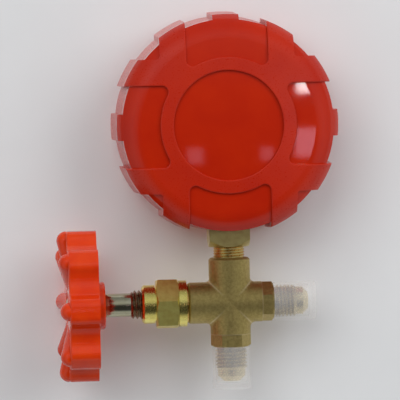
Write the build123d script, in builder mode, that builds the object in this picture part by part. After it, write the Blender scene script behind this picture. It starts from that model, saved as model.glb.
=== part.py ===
"""Refrigerant manifold gauge: a one-valve charging manifold with a 68 mm pressure gauge.

Units are millimetres. +Z runs up from the lower port to the gauge, the dial faces -Y and the
handwheel is at +X. The origin is the centre of the lower flare nipple's end face.
Angles on the dial are clock angles: 0 is straight down, and they grow clockwise for a reader.
"""

from build123d import *
from math import acos, atan2, cos, degrees, hypot, pi, radians, sin, tan
import os

os.makedirs("parts", exist_ok=True)

# ---------------------------------------------------------------- driving dimensions
# Ports: 1/4 inch flare, 7/16-20 UNF thread
flare_thread_diameter = 11.11
flare_thread_length = 7.8
flare_nose_diameter = 9.5
flare_nose_length = 4.1
flare_cone_length = 1.8
flare_groove_depth = 0.75
flare_groove_width = 0.8
port_bore = 4.8
lower_port_reach = 27.2
side_port_reach = 26.9
port_hexagon_start = 11.0
port_hexagon = 12.0

# Valve body: four tubes that meet at the cross centre
cross_height = lower_port_reach
port_tube = 13.9
gauge_boss = 14.3
gauge_boss_reach = 15.5
bonnet_boss = 14.3
bonnet_boss_reach = 14.7
boss_chamfer = 0.7
chamber_bore = 9.4
chamber_end = -2.6
seat_lip = 5.4
seat_lip_height = 0.6
seat_passage = 3.6
seat_passage_end = -10.0
pipe_thread = 10.3
pipe_thread_depth = 7.0

# Bonnet: 16 mm hexagon, screwed into the body
bonnet_spigot = 12.0
bonnet_spigot_start = 8.0
bonnet_counterbore_end = 10.45
seal_thickness = 0.5
seal_diameter = 13.4
collar_diameter = 16.0
collar_end = 17.7
collar_groove = 15.0
bonnet_hexagon = 16.0
bonnet_hexagon_turned = 8.6
bonnet_hexagon_start = 18.0
bonnet_hexagon_end = 25.7
bonnet_undercut = 11.8
gland_start = 26.2
gland_diameter = 13.4
gland_end = 30.6
stem_seal_section = 1.4
stem_seal_groove = 1.9
stem_seal_starts = (11.3, 13.9)
seal_land = 0.3
holder_clearance = 0.35

# Stem: M10 x 1.5 thread, 8 mm shank, 6 mm square drive
stem_diameter = 8.0
stem_thread = 10.0
stem_thread_start = 20.0
stem_thread_end = 34.5
stem_shank = 8.1
stem_square = 6.0
stem_end = 54.2
stem_tip_diameter = 4.0
stem_tip_start = 4.4
stem_shank_start = 7.5
running_clearance = 0.05

# Seat, held in a cup that does not turn with the stem
valve_lift = 3.75
seat_gap = 0.02
disc_diameter = 5.6
disc_thickness = 1.6
disc_recess = 1.17
holder_diameter = 8.8
holder_end = 7.4

# Handwheel: 53 mm over eight lobes
wheel_lobes = 8
wheel_tip_radius = 26.1
wheel_valley_radius = 21.8
scallop_radius = 6.8
lobe_rounding = 3.3
wheel_turned_by = -1.0
hub_diameter = 16.4
hub_start = 43.4
wheel_back = 46.0
wheel_front = 56.4
wheel_wall = 2.4
wheel_web = 3.6
ridge_radius = 3.2
ridge_inner = 9.0
ridge_outer = 22.9
wheel_edge_rounding = 0.8
wheel_recess_diameter = 12.0
wheel_recess_depth = 2.0
wheel_screw_thread = 3.3
wheel_screw_head = 7.0
wheel_screw_head_height = 2.4
wheel_screw_length = 9.0
wheel_washer_thickness = 1.0
wheel_washer_diameter = 10.4

# Push-on dust caps
cap_diameter = 13.0
cap_closed_diameter = 13.6
cap_length = 14.8
cap_inside_length = 12.2

# Gauge: centre above the origin, and the layers from the back (+Y) to the front (-Y)
gauge_height = cross_height + 61.6
socket_square = 14.0
socket_neck_top = 19.4
socket_turned_height = 2.4
socket_turned_radius = 7.0
socket_shoulder = -28.3
socket_top = -22.5
socket_bore = 3.0
block_front = -2.5
foot_drilling_depth = 5.5
case_drilling_depth = 6.0
case_screw_radius = 1.5
case_screw_head = 2.7
case_screw_length = 7.0
dial_screw_radius = 0.8
dial_screw_head = 1.5
dial_screw_head_height = 0.8
dial_screw_rounding = 0.4
case_back = 14.0
case_wall = 1.0
case_floor = 1.2
case_radius = 32.2
case_front = -12.2
case_rounding = 3.0
case_bevel = 1.6
gasket_front = -12.8
lens_front = -14.8
lens_bevel = 0.3
bezel_bevel = 0.5
bezel_front = -15.5
bezel_back = -8.0
bezel_radius = 33.1
bezel_opening = 29.6
dial_back = -9.0
dial_front = -9.5
dial_radius = 29.8
dial_hole = 4.4

# Bourdon tube: a flattened C, brazed into the socket block
tube_radius = 25.0
tip_thickening = 0.4
ear_inset = 0.3
link_gap = 0.1
tube_width = 7.0
tube_thickness = 3.0
tube_wall = 0.4
tube_middle = 5.0
tube_start = 13.0
tube_end = 312.0
tip_arc = 8.0

# Movement: 0.3 module, 10 leaves on the pinion and 90 teeth to the sector's full circle
gear_module = 0.3
pinion_teeth = 10
sector_teeth = 90
pinion_shift = 0.5
pinion_addendum = 1.2
sector_addendum = 0.5
gear_dedendum = 1.25
pressure_angle = radians(20)
tooth_thinning = 0.04
centre_distance = gear_module * (pinion_teeth + sector_teeth) / 2
pointer_sweep = 270.0
sector_sweep = pointer_sweep * pinion_teeth / sector_teeth
sector_bearing = 17.46
tail_radius = 6.0
link_length = 20.0
link_rest_angle = 4.0
link_width = 1.2
eye_radius = 1.3
pin_diameter = 1.0
loose_hole = 1.28
back_plate_back = block_front
plate_thickness = 0.8
front_plate_front = -7.6
sector_back = -4.7
sector_front = -5.4
pinion_back = -4.4
pinion_front = -5.7
link_back = -5.8
link_front = -6.3
pin_front = -6.6
pivot_diameter = 1.0
arbor_diameter = 1.5
pillar_diameter = 3.0
pillar_places = [(-11.0, -15.0), (2.5, -16.0), (6.5, 4.5), (-6.0, 6.0)]
foot_places = [(-4.0, -25.5), (4.0, -25.5)]
post_places = [(-9.5, 0.0), (9.5, 0.0)]
spring_back = -3.7
spring_front = -4.2
spring_inner = 1.3
spring_pitch = 0.8
spring_half_turns = 8
spring_width = 0.15

# Pointer and stop pin
pointer_back = -10.6
pointer_front = -11.1
pointer_hub_back = -10.0
pointer_hub_front = -11.8
pointer_hub = 6.0
pointer_reach = 24.0
pointer_tail = 8.0
pointer_zero = 45.0
pointer_tail_width = 3.4
pointer_waist = 2.6
pointer_tip_width = 0.4
pointer_hub_rounding = 0.5
pivot_seat = 0.2
stop_radius = 18.0
stop_angle = 40.6
stop_diameter = 1.0
stop_pin_seat = 0.4

# Protective boot
boot_back = 16.6
boot_floor = 15.5
boot_front = -16.8
boot_radius = 36.4
boot_front_radius = 37.6
lug_radius = 38.2
lug_front_radius = 39.1
boot_flat_radius = 30.0
boot_doming = 9.0
boot_rim_bevel = 0.8
ring_inner = 18.8
ring_outer = 23.5
band_inner = 14.0
band_outer = 23.1
single_lug_width = 9.1
window_corner = 2.1
triangle_corner = 1.0
raised_rounding = 0.45
boot_lip_radius = 30.3
boot_clearance = 0.05
boot_socket_hole = 15.0
boot_socket_corner = 1.0

# ---------------------------------------------------------------- axes and planes
stem_axis = Axis((0, 0, cross_height), (1, 0, 0))
stem_section = Plane((0, 0, cross_height), x_dir=(1, 0, 0), z_dir=(0, -1, 0))
gauge_axis = Axis((0, 0, gauge_height), (0, 1, 0))
gauge_section = Plane((0, 0, gauge_height), x_dir=(0, 1, 0), z_dir=(1, 0, 0))
sector_pivot = (-centre_distance * sin(radians(sector_bearing)),
                -centre_distance * cos(radians(sector_bearing)))


def wheel_plane(place):
    """A plane across the stem at this distance from the cross centre; its normal is +X."""
    return Plane((place, 0, cross_height), x_dir=(0, 1, 0), z_dir=(1, 0, 0))


def dial_plane(depth):
    """A plane parallel to the dial at this Y; its normal points at the reader."""
    return Plane((0, depth, gauge_height), x_dir=(1, 0, 0), z_dir=(0, -1, 0))


def on_dial(radius, clock_angle):
    """A point of a dial plane, by its distance from the centre and its clock angle."""
    angle = radians(clock_angle)
    return (-radius * sin(angle), -radius * cos(angle))


def tube_section(clock_angle):
    """A plane that cuts the gauge along its axis, on the side of this clock angle."""
    angle = radians(clock_angle)
    return Plane((0, 0, gauge_height), x_dir=(0, 1, 0), z_dir=(-cos(angle), 0, sin(angle)))


def profile(plane, *points):
    """The flat face inside straight lines through the points."""
    with BuildSketch(plane) as face:
        with BuildLine():
            Polyline(*points, close=True)
        make_face()
    return face.sketch


def finish(part, name):
    """Label a finished piece and write it."""
    part.label = name
    export_step(part, f"parts/{name}.step")


# ---------------------------------------------------------------- valve body
def flare_port(reach):
    """A port along +Z: tube, hexagon with turned ends, thread and 45 degree flare nose."""
    thread_end = reach - flare_nose_length
    thread_start = thread_end - flare_thread_length
    tube = port_tube / 2
    bevel = tube - port_hexagon / 2
    thread = flare_thread_diameter / 2
    groove = thread - flare_groove_depth
    nose = flare_nose_diameter / 2
    with BuildPart() as port:
        with BuildSketch(Plane.XY.offset(port_hexagon_start)):
            RegularPolygon(port_hexagon / 2, 6, major_radius=False)
        extrude(amount=thread_start - port_hexagon_start)
        revolve(profile(Plane.XZ,
                        (0, port_hexagon_start), (tube, port_hexagon_start),
                        (tube, thread_start - bevel / 2), (port_hexagon / 2, thread_start),
                        (0, thread_start)), axis=Axis.Z, mode=Mode.INTERSECT)
        revolve(profile(Plane.XZ, (0, 0), (tube, 0), (tube, port_hexagon_start),
                        (0, port_hexagon_start)), axis=Axis.Z)
        revolve(profile(Plane.XZ,
                        (0, thread_start), (groove, thread_start),
                        (groove, thread_start + flare_groove_width),
                        (thread, thread_start + flare_groove_width + flare_groove_depth / 2),
                        (thread, thread_end - flare_groove_depth), (nose, thread_end),
                        (nose, reach - flare_cone_length),
                        (nose - flare_cone_length, reach), (0, reach)), axis=Axis.Z)
    return port.part


def boss(diameter, reach):
    """A plain tube end along +Z with a chamfered mouth."""
    with BuildPart() as tube:
        Cylinder(diameter / 2, reach, align=(Align.CENTER, Align.CENTER, Align.MIN))
        chamfer(tube.edges().group_by(Axis.Z)[-1], boss_chamfer)
    return tube.part


cross_centre = Location((0, 0, cross_height))
lower_port = cross_centre * Rot(X=180) * flare_port(lower_port_reach)
side_port = cross_centre * Rot(Y=-90) * flare_port(side_port_reach)
upper_boss = cross_centre * boss(gauge_boss, gauge_boss_reach)
bonnet_end = cross_centre * Rot(Y=90) * boss(bonnet_boss, bonnet_boss_reach)

with BuildPart() as valve_body:
    add([lower_port, side_port, upper_boss, bonnet_end])
    # the stem's bore, from the bonnet down to the seat, the raised seat and its passage
    revolve(profile(stem_section,
                    (bonnet_boss_reach, 0), (bonnet_boss_reach, bonnet_spigot / 2),
                    (bonnet_spigot_start, bonnet_spigot / 2), (bonnet_spigot_start, chamber_bore / 2),
                    (chamber_end, chamber_bore / 2), (chamber_end, seat_lip / 2),
                    (chamber_end + seat_lip_height, seat_lip / 2),
                    (chamber_end + seat_lip_height, seat_passage / 2),
                    (seat_passage_end, seat_passage / 2), (seat_passage_end, port_bore / 2),
                    (-side_port_reach, port_bore / 2), (-side_port_reach, 0)),
            axis=stem_axis, mode=Mode.SUBTRACT)
    # the lower port's bore, and the gauge's threaded hole with its drilling
    with BuildSketch(Plane.XY):
        Circle(port_bore / 2)
    extrude(amount=cross_height, mode=Mode.SUBTRACT)
    with BuildSketch(Plane.XY.offset(cross_height)):
        Circle(socket_bore / 2)
    extrude(amount=gauge_boss_reach, mode=Mode.SUBTRACT)
    with BuildSketch(Plane.XY.offset(cross_height + gauge_boss_reach)):
        Circle(pipe_thread / 2)
    extrude(amount=-pipe_thread_depth, mode=Mode.SUBTRACT)
finish(valve_body.part, "valve_body")

# ---------------------------------------------------------------- bonnet and its seals
seal_start = bonnet_boss_reach
collar_start = seal_start + seal_thickness
hexagon_corner = bonnet_hexagon / 3 ** 0.5
hexagon_bevel = hexagon_corner - bonnet_hexagon / 2

with BuildPart() as valve_bonnet:
    with BuildSketch(wheel_plane(bonnet_hexagon_start)):
        RegularPolygon(bonnet_hexagon / 2, 6, major_radius=False, rotation=bonnet_hexagon_turned)
    extrude(amount=bonnet_hexagon_end - bonnet_hexagon_start)
    # both ends of the hexagon are turned to a bevel
    revolve(profile(stem_section,
                    (bonnet_hexagon_start, 0), (bonnet_hexagon_start, bonnet_hexagon / 2),
                    (bonnet_hexagon_start + hexagon_bevel / 2, hexagon_corner),
                    (bonnet_hexagon_end - hexagon_bevel / 2, hexagon_corner),
                    (bonnet_hexagon_end, bonnet_hexagon / 2), (bonnet_hexagon_end, 0)),
            axis=stem_axis, mode=Mode.INTERSECT)
    revolve(profile(stem_section,
                    (bonnet_spigot_start, 0), (bonnet_spigot_start, bonnet_spigot / 2),
                    (collar_start, bonnet_spigot / 2), (collar_start, collar_diameter / 2),
                    (collar_end, collar_diameter / 2), (collar_end, collar_groove / 2),
                    (bonnet_hexagon_start, collar_groove / 2), (bonnet_hexagon_start, 0)),
            axis=stem_axis)
    revolve(profile(stem_section,
                    (bonnet_hexagon_end, 0), (bonnet_hexagon_end, bonnet_undercut / 2),
                    (gland_start, bonnet_undercut / 2), (gland_start, gland_diameter / 2),
                    (gland_end - boss_chamfer, gland_diameter / 2),
                    (gland_end, gland_diameter / 2 - boss_chamfer), (gland_end, 0)),
            axis=stem_axis)
    # counterbore for the seat holder, sealed bore, then the stem's female thread
    seal_bore_end = stem_seal_starts[-1] + stem_seal_groove + seal_land
    stem_hole = stem_diameter / 2 + running_clearance
    thread_hole = stem_thread / 2 + running_clearance
    revolve(profile(stem_section,
                    (bonnet_spigot_start, 0), (bonnet_spigot_start, holder_diameter / 2 + holder_clearance),
                    (bonnet_counterbore_end, holder_diameter / 2 + holder_clearance),
                    (bonnet_counterbore_end, stem_hole), (seal_bore_end, stem_hole),
                    (seal_bore_end, thread_hole), (gland_end, thread_hole), (gland_end, 0)),
            axis=stem_axis, mode=Mode.SUBTRACT)
    seal_groove_radius = stem_diameter / 2 + running_clearance / 2 + stem_seal_section
    for groove_start in stem_seal_starts:
        revolve(profile(stem_section,
                        (groove_start, 0), (groove_start, seal_groove_radius),
                        (groove_start + stem_seal_groove, seal_groove_radius),
                        (groove_start + stem_seal_groove, 0)), axis=stem_axis, mode=Mode.SUBTRACT)
finish(valve_bonnet.part, "valve_bonnet")

with BuildPart() as bonnet_seal:
    with BuildSketch(wheel_plane(seal_start)):
        Circle(seal_diameter / 2)
        Circle(bonnet_spigot / 2, mode=Mode.SUBTRACT)
    extrude(amount=seal_thickness)
finish(bonnet_seal.part, "bonnet_seal")

with BuildPart() as stem_o_rings:
    for groove_start in stem_seal_starts:
        with BuildSketch(stem_section):
            with Locations((groove_start + stem_seal_groove / 2,
                            seal_groove_radius - stem_seal_section / 2)):
                Circle(stem_seal_section / 2)
        revolve(axis=stem_axis)
finish(stem_o_rings.part, "stem_o_rings")

# ---------------------------------------------------------------- stem, seat and handwheel
with BuildPart() as stem:
    thread_bevel = (stem_thread - stem_diameter) / 2
    revolve(profile(stem_section,
                    (stem_tip_start, 0), (stem_tip_start, stem_tip_diameter / 2),
                    (stem_shank_start, stem_tip_diameter / 2), (stem_shank_start, stem_diameter / 2),
                    (stem_thread_start, stem_diameter / 2),
                    (stem_thread_start + thread_bevel, stem_thread / 2),
                    (stem_thread_end - thread_bevel, stem_thread / 2),
                    (stem_thread_end, stem_shank / 2), (hub_start, stem_shank / 2), (hub_start, 0)),
            axis=stem_axis)
    with BuildSketch(wheel_plane(hub_start)):
        Rectangle(stem_square, stem_square)
    extrude(amount=stem_end - hub_start)
    with BuildSketch(wheel_plane(stem_end)):
        Circle(wheel_screw_thread / 2)
    extrude(amount=-wheel_screw_length, mode=Mode.SUBTRACT)
finish(stem.part, "stem")

disc_start = chamber_end + seat_lip_height + valve_lift + seat_gap
holder_start = disc_start + disc_thickness - disc_recess
with BuildPart() as seat_disc:
    with BuildSketch(wheel_plane(disc_start)):
        Circle(disc_diameter / 2)
    extrude(amount=disc_thickness)
finish(seat_disc.part, "seat_disc")

with BuildPart() as seat_holder:
    with BuildSketch(wheel_plane(holder_start)):
        Circle(holder_diameter / 2)
    extrude(amount=holder_end - holder_start)
    with BuildSketch(wheel_plane(holder_start)):
        Circle(disc_diameter / 2)
    extrude(amount=disc_recess, mode=Mode.SUBTRACT)
    with BuildSketch(wheel_plane(stem_tip_start - running_clearance)):
        Circle(stem_tip_diameter / 2 + running_clearance)
    extrude(amount=holder_end - stem_tip_start + running_clearance, mode=Mode.SUBTRACT)
finish(seat_holder.part, "seat_holder")


def lobed_outline(inset):
    """The handwheel's outline, drawn in by an even inset."""
    with BuildSketch() as outline:
        Circle(wheel_tip_radius - inset)
        with PolarLocations(wheel_valley_radius + scallop_radius, wheel_lobes,
                            start_angle=180 / wheel_lobes):
            Circle(scallop_radius + inset, mode=Mode.SUBTRACT)
        fillet(outline.vertices(), lobe_rounding - inset)
    return outline.sketch


def finger_ridge():
    """One round-nosed ridge along +X, whose top rises from the wheel's face out to the lobe."""
    inner = Vector(ridge_inner, 0, wheel_front - wheel_back - ridge_radius)
    outer = Vector(ridge_outer, 0, wheel_front - wheel_back)
    with BuildPart() as ridge:
        with BuildSketch(Plane(inner, z_dir=outer - inner)):
            Circle(ridge_radius)
        extrude(amount=(outer - inner).length)
        with Locations(inner, outer):
            Sphere(ridge_radius)
    return ridge.part


wheel_outline = lobed_outline(0)
wheel_cavity = lobed_outline(wheel_wall)
ridge_shape = finger_ridge()
cavity_depth = wheel_front - wheel_back - wheel_web

with BuildPart(wheel_plane(wheel_back)) as handwheel:
    with BuildSketch(wheel_plane(wheel_back)):
        add(wheel_outline, rotation=wheel_turned_by)
    extrude(amount=wheel_front - wheel_back)
    fillet(handwheel.edges().group_by(Axis.X)[-1], wheel_edge_rounding)
    with PolarLocations(0, wheel_lobes, start_angle=wheel_turned_by):
        add(ridge_shape)
    # the moulding is cored out behind, with a hub left standing
    with BuildSketch(wheel_plane(wheel_back)):
        add(wheel_cavity, rotation=wheel_turned_by)
        Circle(hub_diameter / 2, mode=Mode.SUBTRACT)
    extrude(amount=cavity_depth, mode=Mode.SUBTRACT)
    with BuildSketch(wheel_plane(hub_start)):
        Circle(hub_diameter / 2)
    extrude(amount=wheel_back - hub_start)
    chamfer(handwheel.edges().group_by(Axis.X)[0], wheel_edge_rounding / 2)
    with BuildSketch(wheel_plane(wheel_front)):
        Circle(wheel_recess_diameter / 2)
    extrude(amount=-wheel_recess_depth, mode=Mode.SUBTRACT)
    with BuildSketch(wheel_plane(hub_start)):
        Rectangle(stem_square, stem_square)
    extrude(amount=wheel_front - hub_start, mode=Mode.SUBTRACT)
finish(handwheel.part, "handwheel")

recess_floor = wheel_front - wheel_recess_depth
with BuildPart() as handwheel_washer:
    with BuildSketch(wheel_plane(recess_floor)):
        Circle(wheel_washer_diameter / 2)
        Circle(wheel_screw_thread / 2, mode=Mode.SUBTRACT)
    extrude(amount=wheel_washer_thickness)
finish(handwheel_washer.part, "handwheel_washer")

screw_seat = recess_floor + wheel_washer_thickness
with BuildPart() as handwheel_screw:
    with BuildSketch(wheel_plane(screw_seat)):
        Circle(wheel_screw_head / 2)
    extrude(amount=wheel_screw_head_height)
    fillet(handwheel_screw.edges().group_by(Axis.X)[-1], wheel_screw_head_height / 2)
    with BuildSketch(wheel_plane(screw_seat)):
        Circle(wheel_screw_thread / 2)
    extrude(amount=-wheel_screw_length)
finish(handwheel_screw.part, "handwheel_screw")


# ---------------------------------------------------------------- dust caps
def dust_cap():
    """A push-on cap along +Z, open at the bottom and a little wider at its closed end."""
    outer = cap_diameter / 2
    closed = cap_closed_diameter / 2
    inner = flare_thread_diameter / 2 + running_clearance
    floor = cap_length - cap_inside_length
    with BuildPart() as cap:
        revolve(profile(Plane.XZ,
                        (inner, 0), (outer, 0), (outer, cap_length - 2 * floor),
                        (closed, cap_length - floor), (closed, cap_length), (0, cap_length),
                        (0, cap_inside_length), (inner, cap_inside_length)), axis=Axis.Z)
        fillet(cap.edges().group_by(Axis.Z)[-1], floor / 3)
    return cap.part


hexagon_to_end = flare_thread_length + flare_nose_length
lower_port_cap = Pos(0, 0, hexagon_to_end) * Rot(X=180) * dust_cap()
finish(lower_port_cap, "lower_port_cap")
side_port_cap = Pos(hexagon_to_end - side_port_reach, 0, cross_height) * Rot(Y=-90) * dust_cap()
finish(side_port_cap, "side_port_cap")

# ---------------------------------------------------------------- gauge socket
neck_bottom = cross_height + gauge_boss_reach - pipe_thread_depth
square_bottom = cross_height + socket_neck_top
shoulder_height = gauge_height + socket_shoulder
block_top = gauge_height + socket_top
block_back = case_back - case_floor
square_corner = socket_square / 2 ** 0.5


def flat_tube(start, end, inset):
    """The bent tube between two clock angles, drawn in by an even inset."""
    with BuildPart() as bend:
        with BuildSketch(tube_section(start)):
            with Locations((tube_middle, tube_radius)):
                SlotOverall(tube_width - 2 * inset, tube_thickness - 2 * inset)
        revolve(axis=gauge_axis, revolution_arc=end - start)
    return bend.part


tube_groove = flat_tube(tube_start, tube_start + 10, 0)
with BuildPart() as gauge_socket:
    with BuildSketch(Plane.XY.offset(square_bottom)):
        Rectangle(socket_square, socket_square)
    extrude(amount=shoulder_height - square_bottom)
    # the square's lower corners are turned
    revolve(profile(Plane.XZ,
                    (0, square_bottom), (socket_turned_radius, square_bottom),
                    (square_corner, square_bottom + socket_turned_height),
                    (square_corner, shoulder_height), (0, shoulder_height)),
            axis=Axis.Z, mode=Mode.INTERSECT)
    with BuildSketch(Plane.XY.offset(neck_bottom)):
        Circle(pipe_thread / 2)
    extrude(amount=square_bottom - neck_bottom)
    with BuildSketch(Plane.XY.offset(shoulder_height)):
        with Locations((0, (block_front + block_back) / 2)):
            Rectangle(socket_square, block_back - block_front)
    extrude(amount=block_top - shoulder_height)
    add(tube_groove, mode=Mode.SUBTRACT)
    # drillings for the gas: up the neck, then slanting into the tube's end
    with BuildSketch(Plane.XY.offset(neck_bottom)):
        Circle(socket_bore / 2)
    extrude(amount=gauge_height - tube_radius - neck_bottom, mode=Mode.SUBTRACT)
    tube_mouth = Vector(on_dial(tube_radius, tube_start)[0], tube_middle, gauge_height - tube_radius)
    drilling_start = Vector(0, 0, gauge_height - tube_radius)
    with BuildSketch(Plane(drilling_start, z_dir=tube_mouth - drilling_start)):
        Circle(tube_thickness / 3)
    extrude(amount=(tube_mouth - drilling_start).length, mode=Mode.SUBTRACT)
    with BuildSketch(dial_plane(block_front)):
        with Locations(foot_places):
            Circle(pin_diameter)
    extrude(amount=-foot_drilling_depth, mode=Mode.SUBTRACT)
    with BuildSketch(dial_plane(block_back)):
        with Locations(foot_places):
            Circle(case_screw_radius)
    extrude(amount=case_drilling_depth, mode=Mode.SUBTRACT)
finish(gauge_socket.part, "gauge_socket")

# ---------------------------------------------------------------- gauge case and front
case_inner = case_radius - case_wall
with BuildPart() as gauge_case:
    with BuildSketch(gauge_section):
        with BuildLine():
            Polyline((case_back, 0), (case_back, case_radius - case_rounding))
            RadiusArc((case_back, case_radius - case_rounding),
                      (case_back - case_rounding, case_radius), -case_rounding)
            Polyline((case_back - case_rounding, case_radius), (case_front, case_radius),
                     (case_front, case_inner), (block_back - case_rounding + case_wall, case_inner))
            RadiusArc((block_back - case_rounding + case_wall, case_inner),
                      (block_back, case_inner - case_rounding + case_wall),
                      case_rounding - case_wall)
            Polyline((block_back, case_inner - case_rounding + case_wall), (block_back, 0),
                     (case_back, 0))
        make_face()
    revolve(axis=gauge_axis)
    with BuildSketch(Plane.XY.offset(gauge_height - case_radius - 1)):
        Rectangle(socket_square, socket_square)
    extrude(amount=case_wall * 4, mode=Mode.SUBTRACT)
    with BuildSketch(dial_plane(case_back)):
        with Locations(foot_places):
            Circle(case_screw_radius)
    extrude(amount=case_floor, mode=Mode.SUBTRACT)
    with BuildSketch(dial_plane(case_back)):
        with Locations(foot_places):
            Circle(case_screw_head)
    extrude(amount=case_floor, taper=45, mode=Mode.SUBTRACT)
finish(gauge_case.part, "gauge_case")

with BuildPart() as case_screws:
    with BuildSketch(dial_plane(case_back)):
        with Locations(foot_places):
            Circle(case_screw_head)
    extrude(amount=case_floor, taper=45)
    with BuildSketch(dial_plane(case_back)):
        with Locations(foot_places):
            Circle(case_screw_radius)
    extrude(amount=case_screw_length)
finish(case_screws.part, "case_screws")

with BuildPart() as lens_gasket:
    with BuildSketch(dial_plane(case_front)):
        Circle(case_radius)
        Circle(bezel_opening, mode=Mode.SUBTRACT)
    extrude(amount=case_front - gasket_front)
finish(lens_gasket.part, "lens_gasket")

with BuildPart() as lens:
    with BuildSketch(dial_plane(gasket_front)):
        Circle(case_radius)
    extrude(amount=gasket_front - lens_front)
    chamfer(lens.edges().group_by(Axis.Y)[0], lens_bevel)
finish(lens.part, "lens")

with BuildPart() as bezel_ring:
    revolve(profile(gauge_section,
                    (bezel_back, case_radius), (bezel_back, bezel_radius),
                    (bezel_front + bezel_bevel, bezel_radius), (bezel_front, bezel_radius - bezel_bevel),
                    (bezel_front, bezel_opening), (lens_front, bezel_opening),
                    (lens_front, case_radius)), axis=gauge_axis)
finish(bezel_ring.part, "bezel_ring")

# ---------------------------------------------------------------- Bourdon tube and its tip
tube_hollow = flat_tube(tube_start, tube_end, tube_wall)
with BuildPart() as bourdon_tube:
    add(flat_tube(tube_start, tube_end, 0))
    add(tube_hollow, mode=Mode.SUBTRACT)
finish(bourdon_tube.part, "bourdon_tube")

tail_angle = radians(-90 - sector_sweep / 2)
tail_eye = (sector_pivot[0] + tail_radius * cos(tail_angle),
            sector_pivot[1] + tail_radius * sin(tail_angle))
tip_eye = (tail_eye[0] + link_length * cos(radians(link_rest_angle)),
           tail_eye[1] + link_length * sin(radians(link_rest_angle)))

with BuildPart() as tube_tip:
    with BuildSketch(tube_section(tube_end)):
        with Locations((tube_middle, tube_radius)):
            Rectangle(tube_width, tube_thickness + tip_thickening)
    revolve(axis=gauge_axis, revolution_arc=tip_arc)
    # an ear runs forward from the cap to the link
    with BuildSketch(dial_plane(tube_middle)):
        with Locations(tip_eye, on_dial(tube_radius - ear_inset, tube_end + tip_arc * 0.7)):
            Circle(eye_radius)
        make_hull()
    extrude(amount=tube_middle - link_back - link_gap)
finish(tube_tip.part, "tube_tip")

with BuildPart() as tip_pin:
    with BuildSketch(dial_plane(link_back + link_gap)):
        with Locations(tip_eye):
            Circle(pin_diameter / 2)
    extrude(amount=link_back + link_gap - pin_front)
finish(tip_pin.part, "tip_pin")


# ---------------------------------------------------------------- movement
def involute(angle):
    """The involute function: how far round an involute flank has come at this angle."""
    return tan(angle) - angle


def gear_tooth(teeth, shift, addendum):
    """One involute tooth that points along +X, from below its root out to its tip."""
    pitch_radius = gear_module * teeth / 2
    base_radius = pitch_radius * cos(pressure_angle)
    root_radius = pitch_radius - (gear_dedendum - shift) * gear_module
    tip_radius = pitch_radius + addendum * gear_module
    thickness = gear_module * (pi / 2 + 2 * shift * tan(pressure_angle)) - tooth_thinning
    half_angle = thickness / (2 * pitch_radius) + involute(pressure_angle)
    flank_start = max(base_radius, root_radius)
    flank = []
    for step in range(4):
        radius = flank_start + (tip_radius - flank_start) * step / 3
        angle = half_angle - involute(acos(min(1, base_radius / radius)))
        flank.append((radius * cos(angle), radius * sin(angle)))
    foot_radius = root_radius - gear_module / 2
    foot_angle = atan2(flank[0][1], flank[0][0])
    foot = (foot_radius * cos(foot_angle), foot_radius * sin(foot_angle))
    with BuildSketch() as tooth:
        with BuildLine():
            Line(foot, flank[0])
            Spline(*flank)
            Line(flank[-1], (tip_radius, 0))
            mirror(about=Plane.XZ)
            Line((foot[0], -foot[1]), foot)
        make_face()
    return tooth.sketch


def at_angle(radius, angle, centre=(0, 0)):
    """A point of a dial plane at this distance and bearing (degrees from +X) from a centre."""
    return (centre[0] + radius * cos(radians(angle)), centre[1] + radius * sin(radians(angle)))


pivot_bearing = 180 + degrees(atan2(-sector_pivot[1], -sector_pivot[0]))
mesh_bearing = pivot_bearing - 180
pinion_tooth = gear_tooth(pinion_teeth, pinion_shift, pinion_addendum)
sector_tooth = gear_tooth(sector_teeth, -pinion_shift, sector_addendum)
pinion_root = gear_module * (pinion_teeth / 2 - gear_dedendum + pinion_shift)
sector_root = gear_module * (sector_teeth / 2 - gear_dedendum - pinion_shift)
tooth_step = 360 / sector_teeth
teeth_below = round(sector_sweep / tooth_step) + 3
teeth_above = 3
back_plate_front = back_plate_back - plate_thickness
front_plate_back = front_plate_front + plate_thickness

with BuildPart() as pinion_arbor:
    with BuildSketch(dial_plane(pinion_back)):
        Circle(pinion_root)
        with PolarLocations(0, pinion_teeth, start_angle=pivot_bearing):
            add(pinion_tooth)
    extrude(amount=pinion_back - pinion_front)
    revolve(profile(gauge_section,
                    (back_plate_back, 0), (back_plate_back, pivot_diameter / 2),
                    (back_plate_front - running_clearance, pivot_diameter / 2),
                    (back_plate_front - running_clearance, arbor_diameter / 2),
                    (spring_back, arbor_diameter / 2), (spring_back, spring_inner - spring_width),
                    (spring_front, spring_inner - spring_width), (spring_front, arbor_diameter / 2),
                    (pointer_hub_back, arbor_diameter / 2),
                    (pointer_hub_front - pivot_seat, pivot_diameter / 2),
                    (pointer_hub_front - pivot_seat, 0)),
            axis=gauge_axis)
finish(pinion_arbor.part, "pinion_arbor")

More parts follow.
